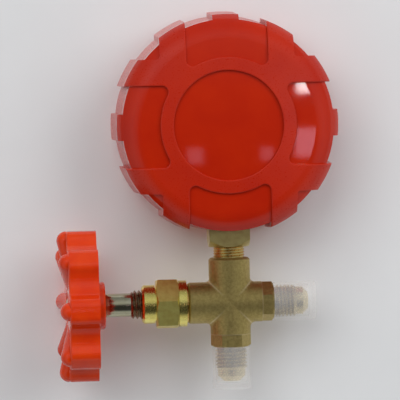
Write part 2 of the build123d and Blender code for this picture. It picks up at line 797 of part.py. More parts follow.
with BuildPart() as sector_gear:
    with BuildSketch(dial_plane(sector_back)):
        edge_angles = (mesh_bearing - (teeth_below + 0.5) * tooth_step,
                       mesh_bearing + (teeth_above + 0.5) * tooth_step)
        middle_angle = sum(edge_angles) / 2
        rim_start = at_angle(sector_root, edge_angles[0], sector_pivot)
        rim_end = at_angle(sector_root, edge_angles[1], sector_pivot)
        with BuildLine():
            Line(sector_pivot, rim_start)
            ThreePointArc(rim_start, at_angle(sector_root, middle_angle, sector_pivot), rim_end)
            Line(rim_end, sector_pivot)
        make_face()
        with Locations(sector_pivot):
            Circle(eye_radius * 1.4)
        # the window that lightens the sector
        window = []
        for angle, radius in ((edge_angles[0] + 9, 5.0), (edge_angles[0] + 6, 10.6),
                              (edge_angles[1] - 6, 10.6), (edge_angles[1] - 9, 5.0)):
            window.append(at_angle(radius, angle, sector_pivot))
        with BuildLine():
            Line(window[0], window[1])
            ThreePointArc(window[1], at_angle(10.6, middle_angle, sector_pivot), window[2])
            Line(window[2], window[3])
            ThreePointArc(window[3], at_angle(5.0, middle_angle, sector_pivot), window[0])
        make_face(mode=Mode.SUBTRACT)
        with Locations(sector_pivot):
            with Locations([Rotation(0, 0, mesh_bearing + (step + 0.5) * tooth_step)
                            for step in range(-teeth_below, teeth_above)]):
                add(sector_tooth)
    extrude(amount=sector_back - sector_front)
    with BuildSketch(dial_plane(sector_back)):
        with Locations(sector_pivot, tail_eye):
            Circle(eye_radius)
        make_hull()
    extrude(amount=sector_back - sector_front)
    # the arbor: a hub between the plates, and a pivot in each plate
    with BuildSketch(dial_plane(back_plate_front - running_clearance)):
        with Locations(sector_pivot):
            Circle(arbor_diameter / 2)
    extrude(amount=back_plate_front - front_plate_back - 2 * running_clearance)
    with BuildSketch(dial_plane(back_plate_back)):
        with Locations(sector_pivot):
            Circle(pivot_diameter / 2)
    extrude(amount=back_plate_back - front_plate_front)
finish(sector_gear.part, "sector_gear")

with BuildPart() as sector_pin:
    with BuildSketch(dial_plane(sector_front)):
        with Locations(tail_eye):
            Circle(pin_diameter / 2)
    extrude(amount=sector_front - pin_front)
finish(sector_pin.part, "sector_pin")

# the link's end at the sector is loose, because the sector's pin swings on an arc
tail_rise = tail_radius * (1 - cos(radians(sector_sweep / 2)))
loose_eye = (tail_eye[0], tail_eye[1] - tail_rise / 2)
with BuildPart() as link:
    with BuildSketch(dial_plane(link_back)):
        with Locations(loose_eye, tip_eye):
            Circle(link_width / 2)
        make_hull()
        with Locations(loose_eye, tip_eye):
            Circle(eye_radius)
        with Locations(loose_eye):
            Circle(loose_hole / 2, mode=Mode.SUBTRACT)
        with Locations(tip_eye):
            Circle(pin_diameter / 2 + running_clearance, mode=Mode.SUBTRACT)
    extrude(amount=link_back - link_front)
finish(link.part, "link")

with BuildPart() as movement_back_plate:
    with BuildSketch(dial_plane(back_plate_back)):
        with Locations(pillar_places + foot_places):
            Circle(pillar_diameter * 0.7)
        make_hull()
        with Locations((0, 0), sector_pivot):
            Circle(pivot_diameter / 2 + running_clearance, mode=Mode.SUBTRACT)
        with Locations(foot_places):
            Circle(pin_diameter, mode=Mode.SUBTRACT)
    extrude(amount=plate_thickness)
    # the stud that holds the hairspring's outer end
    spring_outer = spring_inner + spring_pitch / 2 * spring_half_turns
    with BuildSketch(dial_plane(back_plate_front)):
        with Locations((spring_outer + spring_width / 2 + pin_diameter / 2, 0)):
            Circle(pin_diameter / 2)
    extrude(amount=back_plate_front - spring_front)
finish(movement_back_plate.part, "movement_back_plate")

with BuildPart() as hairspring:
    with BuildSketch(dial_plane(spring_back)):
        with BuildLine() as spiral:
            start = spring_inner
            side = 1
            for half_turn in range(spring_half_turns):
                end = start + spring_pitch / 2
                reach = (start + end) / 2
                ThreePointArc((side * start, 0), (side * (start - reach), side * reach),
                              (-side * end, 0))
                start = end
                side = -side
        trace(line_width=spring_width)
    extrude(amount=spring_back - spring_front)
finish(hairspring.part, "hairspring")

with BuildPart() as movement_front_plate:
    with BuildSketch(dial_plane(front_plate_back)):
        with Locations(pillar_places + post_places):
            Circle(pillar_diameter * 0.7)
        make_hull()
        Circle(arbor_diameter / 2 + running_clearance, mode=Mode.SUBTRACT)
        with Locations(sector_pivot):
            Circle(pivot_diameter / 2 + running_clearance, mode=Mode.SUBTRACT)
    extrude(amount=plate_thickness)
finish(movement_front_plate.part, "movement_front_plate")

with BuildPart() as movement_pillars:
    with BuildSketch(dial_plane(back_plate_front)):
        with Locations(pillar_places):
            Circle(pillar_diameter / 2)
    extrude(amount=back_plate_front - front_plate_back)
finish(movement_pillars.part, "movement_pillars")

with BuildPart() as movement_screws:
    with BuildSketch(dial_plane(back_plate_front)):
        with Locations(foot_places):
            Circle(pin_diameter * 1.9)
    extrude(amount=pin_diameter)
    with BuildSketch(dial_plane(back_plate_front)):
        with Locations(foot_places):
            Circle(pin_diameter)
    extrude(amount=-plate_thickness - 5.0)
finish(movement_screws.part, "movement_screws")

# ---------------------------------------------------------------- dial and pointer
with BuildPart() as dial_posts:
    with BuildSketch(dial_plane(front_plate_front)):
        with Locations(post_places):
            Circle(pillar_diameter / 2)
            Circle(dial_screw_radius, mode=Mode.SUBTRACT)
    extrude(amount=front_plate_front - dial_back)
finish(dial_posts.part, "dial_posts")

stop_place = on_dial(stop_radius, stop_angle)
with BuildPart() as dial:
    with BuildSketch(dial_plane(dial_back)):
        Circle(dial_radius)
        Circle(dial_hole / 2, mode=Mode.SUBTRACT)
        with Locations(post_places):
            Circle(dial_screw_radius, mode=Mode.SUBTRACT)
        with Locations(stop_place):
            Circle(stop_diameter / 2, mode=Mode.SUBTRACT)
    extrude(amount=dial_back - dial_front)
finish(dial.part, "dial")

with BuildPart() as dial_screws:
    with BuildSketch(dial_plane(dial_front)):
        with Locations(post_places):
            Circle(dial_screw_head)
    extrude(amount=dial_screw_head_height)
    fillet(dial_screws.edges().group_by(Axis.Y)[0], dial_screw_rounding)
    with BuildSketch(dial_plane(dial_front)):
        with Locations(post_places):
            Circle(dial_screw_radius)
    extrude(amount=dial_front - front_plate_front)
finish(dial_screws.part, "dial_screws")

with BuildPart() as stop_pin:
    with BuildSketch(dial_plane(dial_back + stop_pin_seat)):
        with Locations(stop_place):
            Circle(stop_diameter / 2)
    extrude(amount=dial_back + stop_pin_seat - pointer_front)
finish(stop_pin.part, "stop_pin")

with BuildPart() as pointer:
    with BuildSketch(dial_plane(pointer_back)):
        needle = [(-pointer_tail, pointer_tail_width / 2), (-pointer_tail, -pointer_tail_width / 2),
                  (0, -pointer_waist / 2), (pointer_reach, -pointer_tip_width / 2),
                  (pointer_reach, pointer_tip_width / 2), (0, pointer_waist / 2)]
        bearing = 270 - pointer_zero
        turned_needle = []
        for along, across in needle:
            turned_needle.append((along * cos(radians(bearing)) - across * sin(radians(bearing)),
                                  along * sin(radians(bearing)) + across * cos(radians(bearing))))
        with BuildLine():
            Polyline(*turned_needle, close=True)
        make_face()
    extrude(amount=pointer_back - pointer_front)
    with BuildSketch(dial_plane(pointer_hub_back)):
        Circle(pointer_hub / 2)
    extrude(amount=pointer_hub_back - pointer_hub_front)
    fillet(pointer.edges().group_by(Axis.Y)[0], pointer_hub_rounding)
    revolve(profile(gauge_section,
                    (pointer_hub_back, 0), (pointer_hub_back, arbor_diameter / 2),
                    (pointer_hub_front - pivot_seat, pivot_diameter / 2),
                    (pointer_hub_front - pivot_seat, 0)),
            axis=gauge_axis, mode=Mode.SUBTRACT)
finish(pointer.part, "pointer")


# ---------------------------------------------------------------- protective boot
def domed_drum(back, radius, front_radius):
    """A turned drum with a flat back, an edge domed down to its radius, and a drafted side."""
    dome_centre = back - boot_doming
    edge = dome_centre + (boot_doming ** 2 - (radius - boot_flat_radius) ** 2) ** 0.5
    with BuildPart() as drum:
        with BuildSketch(gauge_section):
            with BuildLine():
                Polyline((boot_front, 0), (back, 0), (back, boot_flat_radius))
                RadiusArc((back, boot_flat_radius), (edge, radius), -boot_doming)
                Polyline((edge, radius), (boot_front + boot_rim_bevel, front_radius),
                         (boot_front, front_radius - boot_rim_bevel), (boot_front, 0))
            make_face()
        revolve(axis=gauge_axis)
    return drum.part


def raised_pattern():
    """The ring and the eight bands that run out from it to the lugs, as a flat outline."""
    band_width = band_outer - band_inner
    band_middle = (band_outer + band_inner) / 2
    band_length = lug_front_radius - band_inner + 1
    band_place = band_inner + band_length / 2
    with BuildSketch(dial_plane(boot_front)) as pattern:
        Circle(ring_outer)
        with Locations([(x * band_middle, z * band_place) for x in (-1, 1) for z in (-1, 1)]):
            Rectangle(band_width, band_length)
        with Locations([(x * band_place, z * band_middle) for x in (-1, 1) for z in (-1, 1)]):
            Rectangle(band_length, band_width)
        corners = [vertex for vertex in pattern.vertices()
                   if hypot(vertex.X, vertex.Y) < ring_outer + window_corner]
        fillet(corners, window_corner)
        crossings = [vertex for vertex in pattern.vertices()
                     if abs(abs(vertex.X) - abs(vertex.Y)) < running_clearance]
        fillet(crossings, triangle_corner)
    return pattern.sketch


def band_lugs():
    """The raised ring, bands and their lugs, over the boot's whole depth."""
    with BuildPart() as bands:
        extrude(raised_pattern(), amount=boot_front - boot_back)
        add(domed_drum(boot_back, lug_radius, lug_front_radius), mode=Mode.INTERSECT)
    return bands.part


def single_lugs():
    """The lugs at the top and at both sides, whose backs are level with the windows."""
    with BuildPart() as lugs:
        with BuildSketch(dial_plane(boot_front)):
            with Locations((0, lug_radius / 2 + 5)):
                Rectangle(single_lug_width, lug_radius)
            Rectangle(3 * lug_radius, single_lug_width)
        extrude(amount=boot_front - boot_floor)
        add(domed_drum(boot_floor, lug_radius, lug_front_radius), mode=Mode.INTERSECT)
    return lugs.part


boot_bands = band_lugs()
boot_single_lugs = single_lugs()
with BuildPart() as protective_boot:
    add(domed_drum(boot_floor, boot_radius, boot_front_radius))
    add(boot_single_lugs)
    add(boot_bands)
    # the round recess inside the ring
    with BuildSketch(dial_plane(boot_back)):
        Circle(ring_inner)
    extrude(amount=boot_back - boot_floor, mode=Mode.SUBTRACT)
    fillet(protective_boot.edges().group_by(Axis.Y)[-1], raised_rounding)
    # the inside fits the case and the bezel, and a lip holds the bezel at the front
    inner = case_radius + boot_clearance
    wide = bezel_radius + boot_clearance
    step = bezel_back + boot_clearance
    revolve(profile(gauge_section,
                    (case_back, 0), (case_back, inner - case_bevel),
                    (case_back - case_bevel, inner), (step, inner), (step, wide),
                    (bezel_front - boot_clearance, wide),
                    (bezel_front - boot_clearance, boot_lip_radius),
                    (boot_front, boot_lip_radius), (boot_front, 0)),
            axis=gauge_axis, mode=Mode.SUBTRACT)
    with BuildSketch(Plane.XY.offset(gauge_height - lug_front_radius - 1)):
        RectangleRounded(boot_socket_hole, boot_socket_hole, boot_socket_corner)
    extrude(amount=10, mode=Mode.SUBTRACT)
finish(protective_boot.part, "protective_boot")
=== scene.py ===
"""Refrigerant manifold gauge: the dressed model, built around the CAD frame.

Lengths are in millimetres inside the classes and become metres when a mesh is written.
+Z runs up from the lower port to the gauge, the dial faces -Y and the handwheel is at +X.
"""

import logging
import math
from dataclasses import dataclass, field
from enum import Enum
from typing import Callable, Iterable, Optional

import bpy
import numpy as np
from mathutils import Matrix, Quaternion, Vector

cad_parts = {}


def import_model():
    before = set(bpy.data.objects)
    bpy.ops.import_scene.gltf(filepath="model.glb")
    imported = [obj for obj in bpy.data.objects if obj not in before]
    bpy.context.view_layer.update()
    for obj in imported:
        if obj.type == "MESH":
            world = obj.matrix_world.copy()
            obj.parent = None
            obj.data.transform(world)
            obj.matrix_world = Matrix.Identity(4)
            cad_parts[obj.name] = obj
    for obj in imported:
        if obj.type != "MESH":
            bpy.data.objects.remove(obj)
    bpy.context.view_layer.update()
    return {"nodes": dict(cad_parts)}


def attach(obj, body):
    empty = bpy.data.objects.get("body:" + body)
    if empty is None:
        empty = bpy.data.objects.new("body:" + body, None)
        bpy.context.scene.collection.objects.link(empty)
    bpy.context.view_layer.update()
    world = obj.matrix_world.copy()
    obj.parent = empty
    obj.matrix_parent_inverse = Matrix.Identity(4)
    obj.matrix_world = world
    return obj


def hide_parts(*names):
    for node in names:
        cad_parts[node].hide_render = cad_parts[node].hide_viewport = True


LOG = logging.getLogger("gauge")
MM = 0.001
TURN = 2 * math.pi

# Heights of the cross's centre and of the gauge's axis above the lower port's end
CROSS = 27.2
GAUGE = 88.8


class Body(Enum):
    """The rigid bodies of the frame that new pieces ride on."""

    GAUGE_AND_VALVE = "gauge_and_valve"
    WHEEL = "wheel"
    SIDE_CAP = "side_cap"
    LOWER_CAP = "lower_cap"


# ------------------------------------------------------------------ meshes
@dataclass
class Shell:
    """A surface being worked out.

    Attributes:
        points: corner points in millimetres, one row each.
        faces: four corner indices a row; a triangle repeats a corner.
    """

    points: np.ndarray
    faces: np.ndarray

    def joined(self, *others: "Shell") -> "Shell":
        """Put several surfaces into one.

        Args:
            others: the surfaces to add.

        Returns:
            One surface that holds all of them, not yet welded.
        """
        shells = (self, *others)
        starts = np.cumsum([0] + [len(s.points) for s in shells[:-1]])
        faces = [s.faces + start for s, start in zip(shells, starts)]
        return Shell(np.vstack([s.points for s in shells]), np.vstack(faces))

    def welded(self, grain: float = 1e-4) -> "Shell":
        """Weld corners that lie on one another and drop the faces that vanish.

        Args:
            grain: corners nearer than this, in millimetres, become one.

        Returns:
            The welded surface, in which seams and poles are closed.
        """
        keys = np.round(self.points / grain).astype(np.int64)
        _, first, inverse = np.unique(keys, axis=0, return_index=True, return_inverse=True)
        faces = inverse.reshape(-1)[self.faces]
        distinct = 1 + (np.diff(np.sort(faces, axis=1), axis=1) > 0).sum(axis=1)
        return Shell(self.points[first], faces[distinct >= 3])

    def volume(self) -> float:
        """Work out the volume inside, by the divergence theorem over the triangles.

        Returns:
            The volume in cubic millimetres, below zero where the faces point inwards.
        """
        corners = self.points[self.faces]
        a, b, c, d = (corners[:, k] for k in range(4))
        whole = np.einsum("ij,ij->", a, np.cross(b, c)) + np.einsum("ij,ij->", a, np.cross(c, d))
        return float(whole / 6)

    def outward(self) -> "Shell":
        """The same surface with its faces turned to point out of the solid."""
        return self if self.volume() > 0 else Shell(self.points, self.faces[:, ::-1])

    def to_object(self, name: str, crease: float = 40.0) -> bpy.types.Object:
        """Write the surface as a Blender object at the origin.

        Args:
            name: the piece's name.
            crease: edges sharper than this angle, in degrees, stay crisp.

        Returns:
            The new object, linked to the scene.
        """
        rows = [list(dict.fromkeys(row)) for row in self.faces.tolist()]
        mesh = bpy.data.meshes.new(name)
        mesh.from_pydata((self.points * MM).tolist(), [], rows)
        mesh.update()
        mesh.shade_smooth()
        mesh.set_sharp_from_angle(angle=math.radians(crease))
        return linked(name, mesh)


def linked(name: str, data: bpy.types.ID) -> bpy.types.Object:
    """Put a mesh, lamp, camera or text into the scene as an object at the origin.

    Args:
        name: the object's name.
        data: what it carries.

    Returns:
        The object.
    """
    made = bpy.data.objects.new(name, data)
    bpy.context.scene.collection.objects.link(made)
    return made


def sheet_faces(rows: int, columns: int, closed: bool) -> np.ndarray:
    """The quads of a grid of corners stored row by row.

    Args:
        rows: how many rows of corners.
        columns: how many corners in a row.
        closed: whether each row's last corner joins its first.

    Returns:
        Four indices a quad.
    """
    row = np.arange(rows - 1)[:, None]
    column = np.arange(columns if closed else columns - 1)[None, :]
    after = (column + 1) % columns
    quads = [row * columns + column, row * columns + after,
             (row + 1) * columns + after, (row + 1) * columns + column]
    return np.stack(quads, axis=-1).reshape(-1, 4)


def divided(line: np.ndarray, start: float, end: float, step: float) -> np.ndarray:
    """Add points where a profile's long sides run between two places on the axis.

    Args:
        line: the profile, as places along the axis and radii.
        start: where the close spacing starts.
        end: where it ends.
        step: the largest spacing there.

    Returns:
        The profile with the added points.
    """
    made = [line[:1]]
    for a, b in zip(line[:-1], line[1:]):
        inside = min(a[0], b[0]) < end - 1e-6 and max(a[0], b[0]) > start + 1e-6
        parts = max(1, math.ceil(abs(b[0] - a[0]) / step)) if inside else 1
        share = np.linspace(0, 1, parts + 1)[1:, None]
        made.append(a + (b - a) * share)
    return np.vstack(made)


# A limit on a turned piece's radius, from places along the line, angles and the blank's radius
Cut = Callable[[np.ndarray, np.ndarray, np.ndarray], np.ndarray]


@dataclass(frozen=True)
class Spindle:
    """A line that round pieces are turned about.

    Attributes:
        origin: a point on the line, in millimetres.
        along: the direction in which profiles run.
        first: the direction of angle zero, square to the line.
    """

    origin: tuple[float, float, float]
    along: tuple[float, float, float]
    first: tuple[float, float, float]

    def place(self, s: np.ndarray, across: np.ndarray, up: np.ndarray) -> np.ndarray:
        """Find points: origin + s along + across first + up (along x first).

        Args:
            s: places along the line.
            across: offsets in the direction of angle zero.
            up: offsets square to it.

        Returns:
            The points, three numbers each.
        """
        a, f = np.array(self.along, float), np.array(self.first, float)
        g = np.cross(a, f)
        return (np.array(self.origin, float) + s[..., None] * a + across[..., None] * f
                + up[..., None] * g)

    def turned(self, profile: np.ndarray, segments: int = 96, limit: Optional[Cut] = None
               ) -> Shell:
        """Carry a profile round the line: the radius at each angle may be cut down by a limit.

        Args:
            profile: places along the line and radii, from pole to pole for a closed piece.
            segments: how many parts the circle has.
            limit: a function of place, angle and radius that gives the radius to use.

        Returns:
            The welded, outward surface.
        """
        angle = np.linspace(0, TURN, segments, endpoint=False)
        s = np.repeat(profile[:, :1], segments, axis=1)
        radius = np.repeat(profile[:, 1:], segments, axis=1)
        turn = np.broadcast_to(angle, s.shape)
        if limit is not None:
            radius = np.where(radius > 0, limit(s, turn, radius), radius)
        points = self.place(s, radius * np.cos(turn), radius * np.sin(turn)).reshape(-1, 3)
        return Shell(points, sheet_faces(*s.shape, closed=True)).welded().outward()


def ramp(value: np.ndarray, low: float, high: float) -> np.ndarray:
    """A smooth step from 0 at low to 1 at high, with level ends: 3t^2 - 2t^3."""
    t = np.clip((value - low) / (high - low), 0, 1)
    return t * t * (3 - 2 * t)


@dataclass(frozen=True)
class Screw:
    """A helical thread cut into a turned piece.

    Attributes:
        start: where the thread starts along the line.
        end: where it ends.
        crest: the crest's radius.
        depth: how deep the root lies under the crest.
        pitch: the distance from one crest to the next.
        runout: the length over which it fades at each end.
    """

    start: float
    end: float
    crest: float
    depth: float
    pitch: float
    runout: float = 0.6

    def cut(self, s: np.ndarray, angle: np.ndarray, radius: np.ndarray) -> np.ndarray:
        """The radius left by a groove: a triangle wave of place less angle, cut off flat.

        Args:
            s: places along the line.
            angle: angles about it.
            radius: the blank's radius.

        Returns:
            The lesser of the blank's radius and the thread's.
        """
        phase = (s / self.pitch - angle / TURN) % 1.0
        groove = np.clip((1 - np.abs(2 * phase - 1)) * 1.3 - 0.15, 0, 1)
        inside = ramp(s, self.start, self.start + self.runout) * (
            1 - ramp(s, self.end - self.runout, self.end))
        return np.where((s > self.start) & (s < self.end),
                        np.minimum(radius, self.crest - self.depth * groove * inside), radius)


@dataclass(frozen=True)
class Hexagon:
    """Flats milled on a turned piece.

    Attributes:
        start: where the flats start along the line.
        end: where they end.
        across: the distance across the flats.
        turned: the angle of one flat's middle, in degrees.
        sides: how many flats.
    """

    start: float
    end: float
    across: float
    turned: float = 0.0
    sides: int = 6

    def cut(self, s: np.ndarray, angle: np.ndarray, radius: np.ndarray) -> np.ndarray:
        """The radius left by the flats: half the width over the cosine from the nearest flat.

        Args:
            s: places along the line.
            angle: angles about it.
            radius: the blank's radius.

        Returns:
            The lesser of the blank's radius and the flats'.
        """
        part = TURN / self.sides
        from_flat = (angle - math.radians(self.turned) + part / 2) % part - part / 2
        flat = self.across / 2 / np.cos(from_flat)
        inside = (s >= self.start - 1e-6) & (s <= self.end + 1e-6)
        return np.where(inside, np.minimum(radius, flat), radius)


# ------------------------------------------------------------------ finishes
Colour = tuple[float, float, float]


class Graph:
    """A material's node tree, with short ways to add and join nodes."""

    def __init__(self, name: str) -> None:
        """Start an empty tree with its output and one main shader.

        Args:
            name: the material's name.
        """
        self.material = bpy.data.materials.new(name)
        self.material.use_nodes = True
        self.tree = self.material.node_tree
        self.tree.nodes.clear()
        self.output = self.node("ShaderNodeOutputMaterial")
        self.shader = self.node("ShaderNodeBsdfPrincipled")
        self.join(self.shader, "BSDF", self.output, "Surface")
        self.place = self.node("ShaderNodeTexCoord")

    def node(self, kind: str, **settings: object) -> bpy.types.Node:
        """Add a node.

        Args:
            kind: the node's type.
            settings: its properties by name.

        Returns:
            The node.
        """
        made = self.tree.nodes.new(kind)
        for key, value in settings.items():
            setattr(made, key, value)
        return made

    def join(self, source: bpy.types.Node, out: str, target: bpy.types.Node, into: str) -> None:
        """Link one node's output to another's input."""
        self.tree.links.new(source.outputs[out], target.inputs[into])

    def noise(self, size: float, detail: float = 3.0, stretch: Colour = (1.0, 1.0, 1.0)
              ) -> bpy.types.Node:
        """Add noise on object coordinates.

        Args:
            size: the size of its patches in millimetres.
            detail: how many finer layers it has.
            stretch: how much finer it is along each axis.

        Returns:
            The noise node.
        """
        mapping = self.node("ShaderNodeMapping")
        mapping.inputs["Scale"].default_value = stretch
        self.join(self.place, "Object", mapping, "Vector")
        made = self.node("ShaderNodeTexNoise")
        made.inputs["Scale"].default_value = 1 / (size * MM)
        made.inputs["Detail"].default_value = detail
        self.join(mapping, "Vector", made, "Vector")
        return made

    def range(self, source: bpy.types.Node, out: str, low: float, high: float,
              to_low: float, to_high: float) -> bpy.types.Node:
        """Map a value's range onto another range, and hold it at the ends.

        Args:
            source: the value's node.
            out: its output's name.
            low: the value's low end.
            high: its high end.
            to_low: the result at the low end.
            to_high: the result at the high end.

        Returns:
            The node whose Result is the new value.
        """
        made = self.node("ShaderNodeMapRange")
        for key, value in (("From Min", low), ("From Max", high),
                           ("To Min", to_low), ("To Max", to_high)):
            made.inputs[key].default_value = value
        self.join(source, out, made, "Value")
        return made

    def mix(self, factor: bpy.types.Node, out: str, first: Colour, second: Colour
            ) -> bpy.types.Node:
        """Mix two colours by a factor.

        Args:
            factor: the factor's node.
            out: its output's name.
            first: the colour at factor 0.
            second: the colour at factor 1.

        Returns:
            The node whose Result is the mixed colour.
        """
        made = self.node("ShaderNodeMix", data_type="RGBA")
        made.inputs["A"].default_value = (*first, 1)
        made.inputs["B"].default_value = (*second, 1)
        self.join(factor, out, made, "Factor")
        return made

    def math(self, operation: str, first: Optional[bpy.types.Node], out: object,
             second: Optional[bpy.types.Node] = None, other: object = 0.0) -> bpy.types.Node:
        """Add one step of arithmetic.

        Args:
            operation: the step's name.
            first: the first value's node, or none for a plain number.
            out: its output's name, or the number.
            second: the second value's node, or none for a plain number.
            other: its output's name, or the number.

        Returns:
            The node.
        """
        made = self.node("ShaderNodeMath", operation=operation)
        for index, (source, key) in enumerate(((first, out), (second, other))):
            if source is None:
                made.inputs[index].default_value = key
            else:
                self.tree.links.new(source.outputs[key], made.inputs[index])
        return made

    def sum(self, source: bpy.types.Node, out: str, amount: float) -> bpy.types.Node:
        """Add a plain number to a value."""
        return self.math("ADD", source, out, None, amount)

    def axes(self) -> bpy.types.Node:
        """Split the object's coordinates into X, Y and Z.

        Returns:
            The node that gives the three.
        """
        parts = self.node("ShaderNodeSeparateXYZ")
        self.join(self.place, "Object", parts, "Vector")
        return parts

    def distance(self, first: bpy.types.Node, first_out: str, second: bpy.types.Node,
                 second_out: str) -> bpy.types.Node:
        """The distance from an axis, by Pythagoras over two offsets from it.

        Args:
            first: the first offset's node.
            first_out: its output's name.
            second: the second offset's node.
            second_out: its output's name.

        Returns:
            The node whose Value is the distance.
        """
        flat = self.node("ShaderNodeCombineXYZ")
        self.join(first, first_out, flat, "X")
        self.join(second, second_out, flat, "Y")
        length = self.node("ShaderNodeVectorMath", operation="LENGTH")
        self.join(flat, "Vector", length, "Vector")
        return length

    def cover(self, under: bpy.types.Node, factor: bpy.types.Node, out: str,
              top: Colour) -> bpy.types.Node:
        """Lay a colour over another by a factor.

        Args:
            under: the node whose Result is the colour below.
            factor: the factor's node.
            out: its output's name.
            top: the colour laid over it.

        Returns:
            The node whose Result is the covered colour.
        """
        made = self.mix(factor, out, top, top)
        self.join(under, "Result", made, "A")
        return made

    def coloured(self, colour: bpy.types.Node) -> None:
        """Give the shader its base colour."""
        self.join(colour, "Result", self.shader, "Base Color")

    def bump(self, height: bpy.types.Node, out: str, depth: float,
             under: Optional[bpy.types.Node] = None) -> bpy.types.Node:
        """Turn a height into bumps.

        Args:
            height: the node that gives the height.
            out: its output's name.
            depth: the height of a full step in millimetres.
            under: another bump node that this one lies on.

        Returns:
            The bump node.
        """
        made = self.node("ShaderNodeBump")
        made.inputs["Strength"].default_value = 1.0
        made.inputs["Distance"].default_value = depth * MM
        self.join(height, out, made, "Height")
        if under is not None:
            self.join(under, "Normal", made, "Normal")
        return made


@dataclass(frozen=True)
class Finish:
    """A plain procedural finish: two colours in patches, varied roughness and a fine grain.

    Attributes:
        name: the material's name.
        colour: the main colour.
        tint: the colour of the patches.
        patch: the patches' size in millimetres.
        rough: the least and the greatest roughness.
        metallic: 1 for a metal.
        grain: the grain's size in millimetres.
        relief: the grain's height in millimetres.
        stretch: how much finer the grain is along each axis.
        ior: the index of refraction.
        coat: the weight of a clear coat.
        subsurface: how much light travels inside.
        depth: how far it travels in millimetres.
        alpha: how opaque it is.
    """

    name: str
    colour: Colour
    tint: Colour
    patch: float = 6.0
    rough: tuple[float, float] = (0.3, 0.4)
    metallic: float = 0.0
    grain: float = 0.4
    relief: float = 0.004
    stretch: Colour = (1.0, 1.0, 1.0)
    ior: float = 1.5
    coat: float = 0.0
    subsurface: float = 0.0
    depth: float = 1.0
    alpha: float = 1.0

    def material(self) -> bpy.types.Material:
        """Build the material's nodes.

        Returns:
            The material.
        """
        graph = Graph(self.name)
        shader = graph.shader.inputs
        patches = graph.noise(self.patch)
        factor = graph.range(patches, "Fac", 0.35, 0.65, 0.0, 1.0)
        self.paint(graph, graph.mix(factor, "Result", self.colour, self.tint))
        fine = graph.noise(self.grain, detail=2.0, stretch=self.stretch)
        rough = graph.range(fine, "Fac", 0.3, 0.7, *self.rough)
        graph.join(rough, "Result", graph.shader, "Roughness")
        relief = graph.bump(fine, "Fac", self.relief)
        graph.join(relief, "Normal", graph.shader, "Normal")
        shader["Metallic"].default_value = self.metallic
        shader["IOR"].default_value = self.ior
        shader["Coat Weight"].default_value = self.coat
        shader["Subsurface Weight"].default_value = self.subsurface
        shader["Subsurface Scale"].default_value = self.depth * MM
        shader["Subsurface Radius"].default_value = (1.0, 0.35, 0.2)
        shader["Alpha"].default_value = self.alpha
        self.adjust(graph, fine, relief)
        return graph.material

    def paint(self, graph: Graph, colour: bpy.types.Node) -> None:
        """Give the shader its colour; a finish with marks on it adds them here."""
        graph.coloured(colour)

    def adjust(self, graph: Graph, fine: bpy.types.Node, relief: bpy.types.Node) -> None:
        """Change the finished tree; a plain finish leaves it."""

    def roughen(self, graph: Graph, fine: bpy.types.Node, more: bpy.types.Node) -> None:
        """Add more roughness to the finish's own.

        Args:
            graph: the material's tree.
            fine: the node of the fine grain, which the finish's own roughness follows.
            more: the range node whose Result is added.
        """
        base = graph.range(fine, "Fac", 0.3, 0.7, *self.rough)
        rough = graph.math("ADD", base, "Result", more, "Result")
        graph.join(rough, "Value", graph.shader, "Roughness")


def dress(piece: bpy.types.Object, finish: Finish) -> None:
    """Give a piece one finish."""
    piece.data.materials.clear()
    piece.data.materials.append(finish.material())


def centres(piece: bpy.types.Object) -> np.ndarray:
    """Find the middles of a piece's faces.

    Args:
        piece: the piece.

    Returns:
        One row a face, in millimetres.
    """
    flat = np.empty(len(piece.data.polygons) * 3)
    piece.data.polygons.foreach_get("center", flat)
    return flat.reshape(-1, 3) / MM


def also_dress(piece: bpy.types.Object, finish: Finish, chosen: np.ndarray) -> None:
    """Give some of a piece's faces a second finish.

    Args:
        piece: the piece, which has its first finish.
        finish: the second.
        chosen: for each face, whether it takes the second.
    """
    piece.data.materials.append(finish.material())
    piece.data.polygons.foreach_set("material_index", chosen.astype(np.int32))


def settle(piece: bpy.types.Object, body: Body, replaced: Iterable[str] = ()) -> None:
    """Make a piece ride and hide the nodes it stands for.

    Args:
        piece: the finished piece.
        body: the body it moves with.
        replaced: the nodes it replaces.
    """
    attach(piece, body.value)
    for node in replaced:
        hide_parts(node)
    LOG.info("%s: %d corners, rides on %s", piece.name, len(piece.data.vertices), body.value)


# ------------------------------------------------------------------ studio
@dataclass(frozen=True)
class Lamp:
    """A square area lamp.

    Attributes:
        name: the lamp's name.
        place: where it hangs, in metres.
        size: its side in metres.
        power: its power in watts.
        colour: its colour.
        aim: the point it faces, in metres.
        mirrored: whether it shows as a highlight on polished surfaces.
    """

    name: str
    place: tuple[float, float, float]
    size: float
    power: float
    colour: Colour = (1.0, 1.0, 1.0)
    aim: tuple[float, float, float] = (0.0, 0.0, 0.09)
    mirrored: bool = True

    def hang(self) -> None:
        """Hang the lamp, out of the camera's sight."""
        data = bpy.data.lights.new(self.name, "AREA")
        data.size = self.size
        data.energy = self.power
        data.color = self.colour
        made = linked(self.name, data)
        made.location = self.place
        made.rotation_mode = "QUATERNION"
        toward = Vector(self.aim) - Vector(self.place)
        made.rotation_quaternion = toward.to_track_quat("-Z", "Y")
        made.visible_camera = False
        made.visible_glossy = self.mirrored


